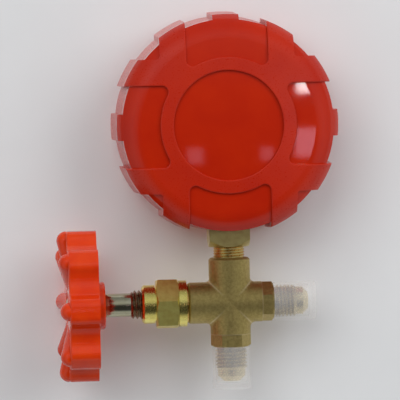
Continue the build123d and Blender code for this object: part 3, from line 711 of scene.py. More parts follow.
VALVE_AIM = (0.0, 0.0, 0.06)
LILAC = (1.0, 0.75, 0.95)
LAMPS = (
    Lamp("window", (-1.2, 1.45, 1.0), 1.5, 19.0, aim=VALVE_AIM, mirrored=False),
    Lamp("ceiling", (0.6, 1.3, 0.9), 1.3, 11.0, aim=VALVE_AIM, mirrored=False),
    Lamp("front_lamp", (0.25, -1.2, 0.5), 0.9, 9.0, aim=VALVE_AIM),
    Lamp("glare", (-0.402, 1.5, 0.198), 0.05, 0.2),
    Lamp("glow", (-0.42, 1.5, -0.02), 0.11, 0.16, (1.0, 0.70, 0.9)),
    Lamp("low_glow", (0.023, 1.5, -0.058), 0.06, 0.02, LILAC),
    Lamp("side_glow", (-0.253, 1.5, -0.058), 0.05, 0.014, LILAC),
)


@dataclass
class Studio:
    """The camera, the table and the lamps.

    Attributes:
        place: the camera's position in metres.
        turn: its orientation as a quaternion, w first.
        sensor: the width of its sensor in millimetres.
        lens: its focal length in millimetres.
        rim: x and y of the boot's rim where it rests on the table, in millimetres.
        lobe: x and y of the handwheel's lobe where it rests.
        table_half: half the table's side in millimetres.
        ambient: how bright the surroundings are.
        dark: the direction of the dark place just under the camera.
        room: the surroundings' grey by the cosine of the angle from the dark place.
        backdrop: the colour that the camera sees behind everything.
    """

    place: tuple[float, float, float] = (0.11239969, 1.58245164, 0.12405089)
    turn: tuple[float, float, float, float] = (0.03237499, 0.01385478, 0.6932005, 0.719884)
    sensor: float = 36.0
    lens: float = 412.776
    rim: tuple[float, float] = (-39.2, -16.85)
    lobe: tuple[float, float] = (56.0, -26.6)
    table_half: float = 900.0
    ambient: float = 0.66
    dark: tuple[float, float, float] = (0.0, 0.91, -0.41)
    room: tuple[tuple[float, float], ...] = (
        (0.0, 0.45), (0.35, 0.66), (0.62, 0.85), (0.80, 0.60), (0.88, 0.16), (0.94, 0.07))
    backdrop: Colour = (0.66, 0.67, 0.68)

    def camera(self) -> None:
        """Make the camera that looks at the gauge's back."""
        data = bpy.data.cameras.new("camera")
        data.sensor_width = self.sensor
        data.lens = self.lens
        data.clip_start, data.clip_end = 0.01, 50.0
        made = linked("camera", data)
        made.location = self.place
        made.rotation_mode = "QUATERNION"
        made.rotation_quaternion = Quaternion(self.turn)
        bpy.context.scene.camera = made

    def table(self) -> None:
        """Lay a pale table where the boot's rim and the handwheel's lobe rest.

        It is seen from its upper side alone.
        """
        rim, lobe, half = np.array(self.rim), np.array(self.lobe), self.table_half
        along = (lobe - rim) / np.linalg.norm(lobe - rim)
        middle = np.array([0.0, rim[1] - rim[0] * along[1] / along[0]])
        left, right = middle - along * half, middle + along * half
        points = np.array([(*left, -half), (*right, -half), (*right, half), (*left, half)])
        made = Shell(points, np.array([[3, 2, 1, 0]])).to_object("table")
        graph = Graph("table_top")
        patches = graph.noise(40.0, detail=4.0)
        factor = graph.range(patches, "Fac", 0.3, 0.7, 0.0, 1.0)
        graph.coloured(graph.mix(factor, "Result", (0.765, 0.775, 0.785), (0.80, 0.81, 0.82)))
        graph.shader.inputs["Roughness"].default_value = 0.55
        clear = graph.node("ShaderNodeBsdfTransparent")
        side = graph.node("ShaderNodeNewGeometry")
        blend = graph.node("ShaderNodeMixShader")
        graph.join(side, "Backfacing", blend, "Fac")
        graph.tree.links.new(graph.shader.outputs["BSDF"], blend.inputs[1])
        graph.tree.links.new(clear.outputs["BSDF"], blend.inputs[2])
        graph.join(blend, "Shader", graph.output, "Surface")
        made.data.materials.append(graph.material)
        made.visible_shadow = False

    def light(self) -> None:
        """Hang the lamps and set the pale surroundings."""
        world = bpy.data.worlds.new("surroundings")
        world.use_nodes = True
        nodes, links = world.node_tree.nodes, world.node_tree.links
        room = nodes["Background"]
        room.inputs["Strength"].default_value = self.ambient
        place = nodes.new("ShaderNodeTexCoord")
        aim = nodes.new("ShaderNodeVectorMath")
        aim.operation = "DOT_PRODUCT"
        aim.inputs[1].default_value = self.dark
        shade = nodes.new("ShaderNodeValToRGB")
        for index, (spot, grey) in enumerate(self.room):
            mark = shade.color_ramp.elements[index] if index < 2 else (
                shade.color_ramp.elements.new(spot))
            mark.position, mark.color = spot, (grey * 0.97, grey * 0.99, grey, 1)
        links.new(place.outputs["Generated"], aim.inputs[0])
        links.new(aim.outputs["Value"], shade.inputs["Fac"])
        links.new(shade.outputs["Color"], room.inputs["Color"])
        backdrop = nodes.new("ShaderNodeBackground")
        backdrop.inputs["Color"].default_value = (*self.backdrop, 1)
        seen = nodes.new("ShaderNodeLightPath")
        either = nodes.new("ShaderNodeMixShader")
        links.new(seen.outputs["Is Camera Ray"], either.inputs["Fac"])
        links.new(room.outputs["Background"], either.inputs[1])
        links.new(backdrop.outputs["Background"], either.inputs[2])
        links.new(either.outputs["Shader"], nodes["World Output"].inputs["Surface"])
        bpy.context.scene.world = world
        for lamp in LAMPS:
            lamp.hang()

    def build(self) -> None:
        """Set up the whole studio, camera first."""
        self.camera()
        self.table()
        self.light()
        bpy.context.scene.view_settings.view_transform = "Standard"


# ------------------------------------------------------------------ valve
UP = Spindle((0.0, 0.0, CROSS), (0.0, 0.0, 1.0), (1.0, 0.0, 0.0))
DOWN = Spindle((0.0, 0.0, CROSS), (0.0, 0.0, -1.0), (1.0, 0.0, 0.0))
STEMWARD = Spindle((0.0, 0.0, CROSS), (1.0, 0.0, 0.0), (0.0, 0.0, 1.0))
SIDEWAYS = Spindle((0.0, 0.0, CROSS), (-1.0, 0.0, 0.0), (0.0, 0.0, 1.0))


# Where the ports' hexagons start, and where their threads do, from the cross's centre
HEXAGON_STEP = 11.05
THREADS_FROM = 15.1


class ForgedBrass(Finish):
    """Dull forged brass with paler brass painted along its mitres and at each hexagon's step:
    partly rubbed wear, partly painted highlight where these edges catch the light.
    """

    def paint(self, graph: Graph, colour: bpy.types.Node) -> None:
        """Paint paler brass on the mitres, by | |x| - |z - cross| |, and on the step where each
        hexagon starts: partly rubbed wear, partly painted highlight.

        Args:
            graph: the material's tree.
            colour: the node whose Result is the plain colour.
        """
        parts = graph.axes()
        height = graph.sum(parts, "Z", -CROSS * MM)
        across = graph.math("ABSOLUTE", parts, "X")
        upward = graph.math("ABSOLUTE", height, "Value")
        apart = graph.math("SUBTRACT", across, "Value", upward, "Value")
        distance = graph.math("ABSOLUTE", apart, "Value")
        seam = graph.range(distance, "Value", 0.0, 0.55 * MM, 1.0, 0.0)
        out = graph.math("MAXIMUM", across, "Value", upward, "Value")
        rubbed_and_lit = graph.range(out, "Value", 2.2 * MM, 6.2 * MM, 0.0, 0.55)
        mitres = graph.math("MULTIPLY", seam, "Result", rubbed_and_lit, "Result")
        lowest = graph.math("MINIMUM", parts, "X", height, "Value")
        step = graph.math("ABSOLUTE", graph.sum(lowest, "Value", HEXAGON_STEP * MM), "Value")
        edge = graph.range(step, "Value", 0.08 * MM, 0.32 * MM, 0.35, 0.0)
        # painted highlight with rubbed wear: paler brass laid on the mitres and the hexagon steps
        wear_and_highlight = graph.math("MAXIMUM", mitres, "Value", edge, "Result")
        graph.coloured(graph.cover(colour, wear_and_highlight, "Value", (0.85, 0.74, 0.5)))


class CutThread(Finish):
    """Bright brass with painted shade in its thread roots."""

    def paint(self, graph: Graph, colour: bpy.types.Node) -> None:
        """Paint shade into the roots by the distance from the port's own axis, on the threads
        alone.

        Args:
            graph: the material's tree.
            colour: the node whose Result is the plain colour.
        """
        parts = graph.axes()
        height = graph.sum(parts, "Z", -CROSS * MM)
        aside = graph.range(parts, "X", -14.6 * MM, -14.5 * MM, 1.0, 0.0)
        offset = graph.node("ShaderNodeMix", data_type="FLOAT")
        graph.join(aside, "Result", offset, "Factor")
        graph.join(parts, "X", offset, "A")
        graph.join(height, "Value", offset, "B")
        radius = graph.distance(offset, "Result", parts, "Y")
        root = graph.range(radius, "Value", 4.85 * MM, 5.5 * MM, 0.5, 0.0)
        lowest = graph.math("MINIMUM", parts, "X", height, "Value")
        thread = graph.range(lowest, "Value", -22.7 * MM, -22.5 * MM, 0.0, 1.0)
        dark = graph.math("MULTIPLY", root, "Result", thread, "Result")
        # painted shade: dark brown laid into the thread roots, where shade falls between the crests
        graph.coloured(graph.cover(colour, dark, "Value", (0.20, 0.13, 0.065)))


class DrawnBrass(Finish):
    """Turned brass whose hexagon keeps the drawn bar's dull, speckled flats."""

    def adjust(self, graph: Graph, fine: bpy.types.Node, relief: bpy.types.Node) -> None:
        """Roughen the hexagon, which runs from 18.0 to 25.7 mm along the stem.

        Args:
            graph: the material's tree.
            fine: the node of the fine grain.
            relief: the grain's bump node; not used here.
        """
        parts = graph.axes()
        begun = graph.range(parts, "X", 17.9 * MM, 18.1 * MM, 0.0, 1.0)
        ended = graph.range(parts, "X", 25.6 * MM, 25.8 * MM, 1.0, 0.0)
        flats = graph.math("MULTIPLY", begun, "Result", ended, "Result")
        self.roughen(graph, fine, graph.range(flats, "Value", 0.0, 1.0, 0.0, 0.13))


FORGED = ForgedBrass("forged_brass", (0.55, 0.435, 0.16), (0.45, 0.345, 0.122), patch=0.9,
                     rough=(0.40, 0.60), metallic=1.0, grain=0.36, relief=0.12)
TURNED = Finish("turned_brass", (0.92, 0.83, 0.26), (0.82, 0.70, 0.19), patch=3.5,
                rough=(0.14, 0.28), metallic=1.0, grain=0.5, relief=0.008,
                stretch=(4.0, 1.0, 1.0))
DRAWN = DrawnBrass("drawn_brass", (0.94, 0.84, 0.26), (0.84, 0.70, 0.19), patch=2.0,
                   rough=(0.16, 0.30), metallic=1.0, grain=0.35, relief=0.02)
THREADED = CutThread("threaded_brass", (0.72, 0.61, 0.36), (0.62, 0.50, 0.26), patch=3.0,
                     rough=(0.2, 0.3), metallic=1.0, grain=0.4, relief=0.002)
SQUARE = Finish("square_brass", (0.62, 0.55, 0.22), (0.52, 0.42, 0.16), patch=2.5,
                rough=(0.3, 0.42), metallic=1.0, grain=0.4, relief=0.006,
                stretch=(1.0, 1.0, 3.0))
NECK = Finish("neck_brass", (0.82, 0.56, 0.18), (0.64, 0.38, 0.10), patch=2.0,
              rough=(0.2, 0.34), metallic=1.0, grain=0.4, relief=0.003)
BRONZE = Finish("bronze", (0.55, 0.36, 0.16), (0.45, 0.27, 0.11), patch=4.0,
                rough=(0.25, 0.4), metallic=1.0, grain=0.3, relief=0.004)
OILED = Finish("oiled_thread", (0.36, 0.27, 0.17), (0.26, 0.19, 0.12), patch=1.0,
               rough=(0.2, 0.34), metallic=1.0, grain=0.3, relief=0.004)
ZINC = Finish("zinc_steel", (0.52, 0.50, 0.37), (0.44, 0.41, 0.27), patch=4.0,
              rough=(0.08, 0.2), metallic=1.0, grain=0.5, relief=0.004,
              stretch=(5.0, 1.0, 1.0))
BLACK_STEEL = Finish("black_steel", (0.018, 0.018, 0.019), (0.028, 0.028, 0.03), patch=5.0,
                     rough=(0.3, 0.42), grain=0.3, relief=0.01, coat=0.2)
RUBBER = Finish("rubber", (0.02, 0.02, 0.02), (0.03, 0.03, 0.03), patch=2.0,
                rough=(0.6, 0.75), grain=0.2, relief=0.01)
PTFE = Finish("ptfe", (0.85, 0.85, 0.82), (0.78, 0.78, 0.74), patch=2.0,
              rough=(0.45, 0.6), grain=0.2, relief=0.004)
DIAL_WHITE = Finish("dial_white", (0.86, 0.86, 0.83), (0.82, 0.82, 0.79), patch=8.0,
                    rough=(0.5, 0.6), grain=0.25, relief=0.003)
DIAL_BLACK = Finish("dial_black", (0.012, 0.012, 0.013), (0.02, 0.02, 0.02), patch=2.0,
                    rough=(0.5, 0.65), grain=0.2, relief=0.001)
DIAL_RED = Finish("dial_red", (0.55, 0.02, 0.015), (0.48, 0.018, 0.012), patch=2.0,
                  rough=(0.5, 0.65), grain=0.2, relief=0.001)
CLEAR = Finish("clear_lens", (0.98, 0.99, 0.99), (0.96, 0.97, 0.97), patch=20.0,
               rough=(0.015, 0.03), grain=4.0, relief=0.001, ior=1.49, alpha=0.08)
CAP = Finish("clear_cap", (0.92, 0.91, 0.89), (0.86, 0.85, 0.83), patch=5.0,
             rough=(0.14, 0.22), grain=1.5, relief=0.006, ior=1.46, alpha=0.18)


@dataclass
class ValveBody:
    """The forged cross: four tubes that meet in mitres, and two of them end as flare ports.

    Attributes:
        mitre_radius: the tubes' radius where they meet.
        blend_end: how far out a tube has reached its own radius.
        fillet: how far the rounding of a mitre reaches.
        rise: how high it fills the mitre's corner, as a share of that reach.
        rows: how many rows of corners lie between a mitre and the blend's end.
        crowding: the power that crowds them towards the mitre; 1 spaces them evenly.
        segments: how many parts a tube's circle has.
        port_radius: a port's tube.
        hexagon_start: where a port's hexagon starts.
        hexagon_across: the distance across its flats.
        lower_turned: the angle of the lower hexagon's flats, in degrees.
        side_turned: the angle of the side hexagon's.
        nose_length: from the thread's end to the port's end.
        thread_length: the thread's length.
        crest: the thread's outer radius.
        depth: its depth.
        pitch: 20 threads to the inch.
        nose_radius: the flare nose.
        cone: the flare cone's length and drop.
        bore: the port's bore radius.
        lower_reach: how far the lower port reaches from the cross's centre.
        side_reach: how far the side port does.
        gauge_end: the reach of the gauge's end, its hole's radius and depth.
        bonnet_end: the same of the bonnet's end.
        boss_radius: the radius of these two plain ends.
        chamfer: their mouths' chamfer.
        passage: the radius of the passage through the seat.
        passage_end: how far from the centre it opens into the side port's bore.
        chamber: the outline of the stem's chamber and raised seat, along the stem.
    """

    mitre_radius: float = 7.05
    blend_end: float = 9.0
    fillet: float = 1.7
    rise: float = 0.354
    rows: int = 21
    crowding: float = 1.6
    segments: int = 180
    port_radius: float = 6.95
    hexagon_start: float = 11.0
    hexagon_across: float = 12.0
    lower_turned: float = 30.0
    side_turned: float = 38.0
    nose_length: float = 4.1
    thread_length: float = 7.8
    crest: float = 5.555
    depth: float = 0.78
    pitch: float = 1.27
    nose_radius: float = 4.75
    cone: float = 1.8
    bore: float = 2.4
    lower_reach: float = 27.2
    side_reach: float = 26.9
    gauge_end: tuple[float, float, float] = (15.5, 5.15, 7.0)
    bonnet_end: tuple[float, float, float] = (14.7, 6.0, 6.7)
    boss_radius: float = 7.15
    chamfer: float = 0.7
    passage: float = 1.8
    passage_end: float = 10.0
    chamber: tuple[tuple[float, float], ...] = (
        (8.0, 4.7), (-2.6, 4.7), (-2.6, 2.7), (-2.0, 2.7), (-2.0, 1.8), (-10.0, 1.8))

    def port_profile(self, reach: float) -> np.ndarray:
        """A port's outline: tube, hexagon, relief groove, thread, flare nose and bore's mouth.

        Args:
            reach: the port's length from the cross centre.

        Returns:
            Places along the port and radii.
        """
        end = reach - self.nose_length
        start = end - self.thread_length
        groove = self.crest - 0.75
        bevel = self.port_radius - self.hexagon_across / 2
        line = np.array([
            (self.blend_end, self.port_radius), (self.hexagon_start, self.port_radius),
            (self.hexagon_start + 0.02, self.port_radius), (start - bevel / 2, self.port_radius),
            (start, self.hexagon_across / 2), (start, groove), (start + 0.8, groove),
            (start + 1.2, self.crest), (end - 0.75, self.crest), (end, self.nose_radius),
            (reach - self.cone, self.nose_radius), (reach, self.nose_radius - self.cone),
            (reach, self.bore + 0.15), (reach - 0.15, self.bore)])
        to_thread_end = 10
        return (divided(line[:to_thread_end], start + 0.8, end, 0.1).tolist()
                + line[to_thread_end:].tolist())

    def boss_profile(self, reach: float, mouth: float, depth: float) -> list[list[float]]:
        """A plain end's outline, with the wall of the hole that its fitting screws into.

        Args:
            reach: its length from the cross centre.
            mouth: the hole's radius.
            depth: how deep it goes.

        Returns:
            Places along the tube and radii.
        """
        return [[self.blend_end, self.boss_radius], [reach - self.chamfer, self.boss_radius],
                [reach - self.chamfer * 0.3, self.boss_radius - self.chamfer * 0.55],
                [reach, self.boss_radius - self.chamfer], [reach, mouth], [reach - depth, mouth]]

    def arm(self, line: Spindle, profile: list[list[float]], cuts: Iterable[Cut] = ()) -> Shell:
        """One tube from its mitre outwards.

        The mitre lies at |cos(angle)| times the radius along the tube, where it meets its
        neighbours. Near it the surface is lifted along the mean of the two tubes' normals by
        a parabola of the distance from the mitre, times cos squared, which is the sine of
        half the angle between the tubes there.

        Args:
            line: the tube's own line.
            profile: its outline beyond the blend.
            cuts: limits on the radius there.

        Returns:
            The open surface, which the neighbours close.
        """
        angle = np.linspace(0, TURN, self.segments, endpoint=False)
        c, n = np.cos(angle), np.sin(angle)
        mitre = self.mitre_radius * np.abs(c)
        share = np.linspace(0, 1, self.rows, endpoint=False)[:, None] ** self.crowding
        near = mitre * (1 - share) + self.blend_end * share
        outline = np.array(profile)
        swell = outline[0, 1] - self.mitre_radius
        close = self.mitre_radius + swell * ramp(near, self.mitre_radius, self.blend_end)
        far = np.repeat(outline[:, :1], self.segments, axis=1)
        radius = np.repeat(outline[:, 1:], self.segments, axis=1)
        turn = np.broadcast_to(angle, far.shape)
        for cut in cuts:
            radius = np.where(radius > 0, cut(far, turn, radius), radius)
        s, r = np.vstack([near, far]), np.vstack([close, radius])
        rounding = np.clip(1 - (s - mitre) / self.fillet, 0, 1) ** 2
        lift = self.rise * self.fillet * rounding * c ** 2
        lift[len(near):] = 0
        # the length of the two normals' sum, (|cos|, cos, 2 sin)
        size = np.sqrt(2 * c ** 2 + 4 * n ** 2)
        points = line.place(s + lift * np.abs(c) / size, (r + lift / size) * c,
                            (r + 2 * lift / size) * n)
        return Shell(points.reshape(-1, 3), sheet_faces(*s.shape, closed=True))

    def port(self, line: Spindle, reach: float, turned: float,
             inside: list[list[float]]) -> Shell:
        """One flare port with its hexagon and thread.

        Args:
            line: the port's own line.
            reach: its length from the cross centre.
            turned: how far its hexagon is turned, in degrees.
            inside: where its bore goes on from the mouth.

        Returns:
            The port's surface.
        """
        end = reach - self.nose_length
        start = end - self.thread_length
        hexagon = Hexagon(self.hexagon_start + 0.01, start, self.hexagon_across, turned=turned)
        thread = Screw(start + 0.85, end - 0.1, self.crest, self.depth, self.pitch)
        return self.arm(line, self.port_profile(reach) + inside, (hexagon.cut, thread.cut))

    def build(self) -> None:
        """Forge the cross and dress it."""
        reach, _, depth = self.gauge_end
        upper = self.boss_profile(*self.gauge_end) + [[reach - depth, 0.0]]
        stemward = self.boss_profile(*self.bonnet_end) + [list(point) for point in self.chamber]
        blind = [[self.lower_reach - 9.0, self.bore], [self.lower_reach - 10.0, 0.0]]
        drilled = [[self.passage_end, self.bore], [self.passage_end, self.passage]]
        whole = self.arm(UP, upper).joined(
            self.arm(STEMWARD, stemward),
            self.port(DOWN, self.lower_reach, self.lower_turned, blind),
            self.port(SIDEWAYS, self.side_reach, self.side_turned, drilled))
        made = whole.welded(1e-3).outward().to_object("forged_cross", crease=28)
        dress(made, FORGED)
        places = centres(made)
        out = np.maximum(-places[:, 0], CROSS - places[:, 2])
        also_dress(made, THREADED, out > THREADS_FROM)
        settle(made, Body.GAUGE_AND_VALVE, ["valve_body"])


@dataclass
class Stem:
    """The zinc-plated stem: thread, bright shank and square drive.

    Attributes:
        pivot: the start and radius of the end that the seat holder turns on.
        inner: the start and radius of the plain length in the bonnet.
        shank: the shank's radius.
        thread: where the thread starts and ends.
        crest: the thread's outer radius.
        depth: the thread's depth.
        pitch: its pitch.
        square: where the square starts.
        square_across: its width over the flats.
        square_corner: its radius over the turned corners.
        end: where the stem ends.
    """

    pivot: tuple[float, float] = (4.4, 2.0)
    inner: tuple[float, float] = (7.5, 4.0)
    shank: float = 4.05
    thread: tuple[float, float] = (20.0, 34.5)
    crest: float = 5.0
    depth: float = 0.85
    pitch: float = 1.5
    square: float = 43.4
    square_across: float = 6.0
    square_corner: float = 4.243
    end: float = 54.2

    def build(self) -> None:
        """Turn the stem and cut its thread and its square; 0.1 mm bevels ease the edges."""
        (tip, tip_radius), (inner, inner_radius) = self.pivot, self.inner
        start, end = self.thread
        line = divided(np.array([
            (tip, 0.0), (tip, tip_radius - 0.1), (tip + 0.1, tip_radius), (inner, tip_radius),
            (inner, inner_radius - 0.1), (inner + 0.1, inner_radius), (start, inner_radius),
            (start + 1.0, self.crest), (end - 0.9, self.crest), (end, self.shank),
            (self.square - 0.2, self.shank), (self.square, self.shank - 0.1),
            (self.square + 0.02, self.square_corner), (self.end - 0.2, self.square_corner),
            (self.end, self.shank), (self.end, 0.0)]), start + 1.0, end, 0.12)
        thread = Screw(start + 0.5, end + 0.1, self.crest, self.depth, self.pitch, runout=0.4)
        square = Hexagon(self.square + 0.01, self.end + 0.1, self.square_across, sides=4)

        def limit(s: np.ndarray, angle: np.ndarray, radius: np.ndarray) -> np.ndarray:
            """The least of the blank, the thread and the square."""
            return square.cut(s, angle, thread.cut(s, angle, radius))

        made = STEMWARD.turned(line, segments=120, limit=limit).to_object("threaded_stem", 30)
        dress(made, ZINC)
        place = centres(made)[:, 0]
        also_dress(made, OILED, (place > start + 1.0) & (place < end - 0.05))
        settle(made, Body.WHEEL, ["stem"])


@dataclass
class WheelScrew:
    """The screw that holds the handwheel: a low dome with a cross recess.

    Attributes:
        seat: where the head sits along the stem.
        length: how far the shank runs into the stem.
        shank: the shank's radius.
        radius: the head's radius.
        height: its height.
        slot: the recess's half width.
        reach: how far its arms reach from the middle.
        sunk: how deep it is.
    """

    seat: float = 55.4
    length: float = 8.9
    shank: float = 1.6
    radius: float = 3.5
    height: float = 1.5
    slot: float = 0.45
    reach: float = 2.1
    sunk: float = 1.0

    def build(self) -> None:
        """Turn the screw; the dome's points inside the cross are pressed in.

        The cross's depth at a point is the greater of its two arms': full inside the arm's
        width, falling off over a fifth of a millimetre at its sides and along its tapered end.
        """
        share = np.linspace(0, 1, 46)
        dome = np.stack([self.seat + self.height * np.sqrt(1 - (share[::-1] * 0.995) ** 2),
                         self.radius * share[::-1]], axis=1)
        tip = self.seat - self.length
        line = np.vstack([[(tip, 0.0), (tip, self.shank - 0.2), (tip + 0.3, self.shank),
                           (self.seat, self.shank), (self.seat, self.radius)], dome])
        shell = STEMWARD.turned(line, segments=144)
        y, z = shell.points[:, 1], shell.points[:, 2] - CROSS
        depth = np.zeros(len(y))
        for across, along in ((np.abs(y), np.abs(z)), (np.abs(z), np.abs(y))):
            width = 1 - ramp(across, self.slot, self.slot + 0.2)
            depth = np.maximum(depth, width * (1 - ramp(along, self.reach * 0.55, self.reach)))
        top = shell.points[:, 0] > self.seat + 0.4
        shell.points[:, 0] -= np.where(top, self.sunk * depth, 0)
        made = shell.to_object("cross_screw", 35)
        dress(made, ZINC)
        settle(made, Body.WHEEL, ["handwheel_screw"])


@dataclass
class NeckThread:
    """The pipe thread left bare between the body and the gauge's square.

    Attributes:
        start: where the bare thread starts above the cross's centre.
        end: where it ends.
        root: the sleeve's inner radius.
        crest: the thread's outer radius.
        depth: its depth.
        pitch: its pitch.
    """

    start: float = 15.52
    end: float = 19.38
    root: float = 4.9
    crest: float = 5.42
    depth: float = 0.46
    pitch: float = 0.94

    def build(self) -> None:
        """Wind the thread as a sleeve round the socket's neck."""
        line = divided(np.array([
            (self.start, self.root), (self.start, self.crest - 0.25),
            (self.start + 0.23, self.crest), (self.end - 0.18, self.crest),
            (self.end, self.crest - 0.2), (self.end, self.root)]),
            self.start, self.end + 0.02, 0.07)
        thread = Screw(self.start - 0.12, self.end + 0.22, self.crest, self.depth, self.pitch,
                       runout=0.1)
        closed = np.vstack([line, line[:1]])
        made = UP.turned(closed, segments=120, limit=thread.cut).to_object("neck_thread", 30)
        dress(made, NECK)
        settle(made, Body.GAUGE_AND_VALVE)


@dataclass
class DustCap:
    """A push-on cap of thin clear plastic, a little wider at its closed end.

    Attributes:
        name: the cap's name.
        line: the port's line.
        start: where the cap's mouth stands along it.
        body: the body it rides on.
        node: the node it replaces.
        outside: the outer wall's outline, from the mouth to the closed end.
        inside: the inner wall's, back to the mouth.
    """

    name: str
    line: Spindle
    start: float
    body: Body
    node: str
    outside: tuple[tuple[float, float], ...] = (
        (0.0, 5.63), (0.0, 6.42), (0.12, 6.5), (4.5, 6.5), (9.0, 6.52), (9.6, 6.62),
        (12.2, 6.8), (14.2, 6.8), (14.6, 6.66), (14.8, 6.3), (14.8, 0.0))
    inside: tuple[tuple[float, float], ...] = (
        (12.4, 0.0), (12.4, 5.2), (12.1, 5.63), (0.0, 5.63))

    def build(self) -> None:
        """Mould the cap as one closed wall, outside first and then inside."""
        line = np.array(self.outside + self.inside) + [self.start, 0.0]
        made = self.line.turned(line, segments=120).to_object(self.name, 30)
        dress(made, CAP)
        settle(made, self.body, [self.node])


# ------------------------------------------------------------------ gauge
class MouldedRed(Finish):
    """Soft red plastic: the recesses keep the mould's polish and the raised faces are satin."""

    def adjust(self, graph: Graph, fine: bpy.types.Node, relief: bpy.types.Node) -> None:
        """Roughen what stands proud of the recesses' domed level, and the boot's sides.

        The level is flat out to 30 mm from the gauge's axis and then drops along an arc of
        9 mm radius, so it lies at 6.5 mm plus 9 times the root of 1 - t^2, where t is the
        distance past 30 mm over 9 mm. From 0.45 to 0.95 mm above it, polish gives way to satin.
        The face also bows a little, which bends what it mirrors: the height falls by 2 mm
        with the square of the radius out to 36 mm.

        Args:
            graph: the material's tree.
            fine: the node of the fine grain.
            relief: the grain's bump node.
        """
        parts = graph.axes()
        height = graph.sum(parts, "Z", -GAUGE * MM)
        radius = graph.distance(parts, "X", height, "Value")
        beyond = graph.range(radius, "Value", 30.0 * MM, 38.9 * MM, 0.0, 8.9 / 9.0)
        squared = graph.math("MULTIPLY", beyond, "Result", beyond, "Result")
        rest = graph.math("SUBTRACT", None, 1.0, squared, "Value")
        root = graph.math("SQRT", rest, "Value")
        level = graph.range(root, "Value", 0.0, 1.0, 6.5 * MM, 15.5 * MM)
        bowed = graph.math("MULTIPLY", radius, "Value", radius, "Value")
        crown = graph.range(bowed, "Value", 0.0, (36.0 * MM) ** 2, 1.0, 0.0)
        graph.join(graph.bump(crown, "Result", 2.0, relief), "Normal", graph.shader, "Normal")
        proud = graph.math("SUBTRACT", parts, "Y", level, "Result")
        satin = graph.range(proud, "Value", 0.45 * MM, 0.95 * MM, 0.0, 1.0)
        side = graph.range(parts, "Y", 8.0 * MM, 10.5 * MM, 1.0, 0.0)
        worn = graph.math("MAXIMUM", satin, "Result", side, "Result")
        self.roughen(graph, fine, graph.range(worn, "Value", 0.0, 1.0, 0.0, 0.24))


BOOT_RED = MouldedRed("boot_red", (0.50, 0.019, 0.002), (0.455, 0.0145, 0.002), patch=16.0,
                      rough=(0.03, 0.055), grain=0.55, relief=0.004, ior=1.41,
                      subsurface=0.12, depth=1.2)
WHEEL_RED = Finish("wheel_red", (0.72, 0.050, 0.004), (0.65, 0.034, 0.003), patch=9.0,
                   rough=(0.08, 0.14), grain=0.8, relief=0.008, ior=1.43,
                   subsurface=0.08, depth=1.0)


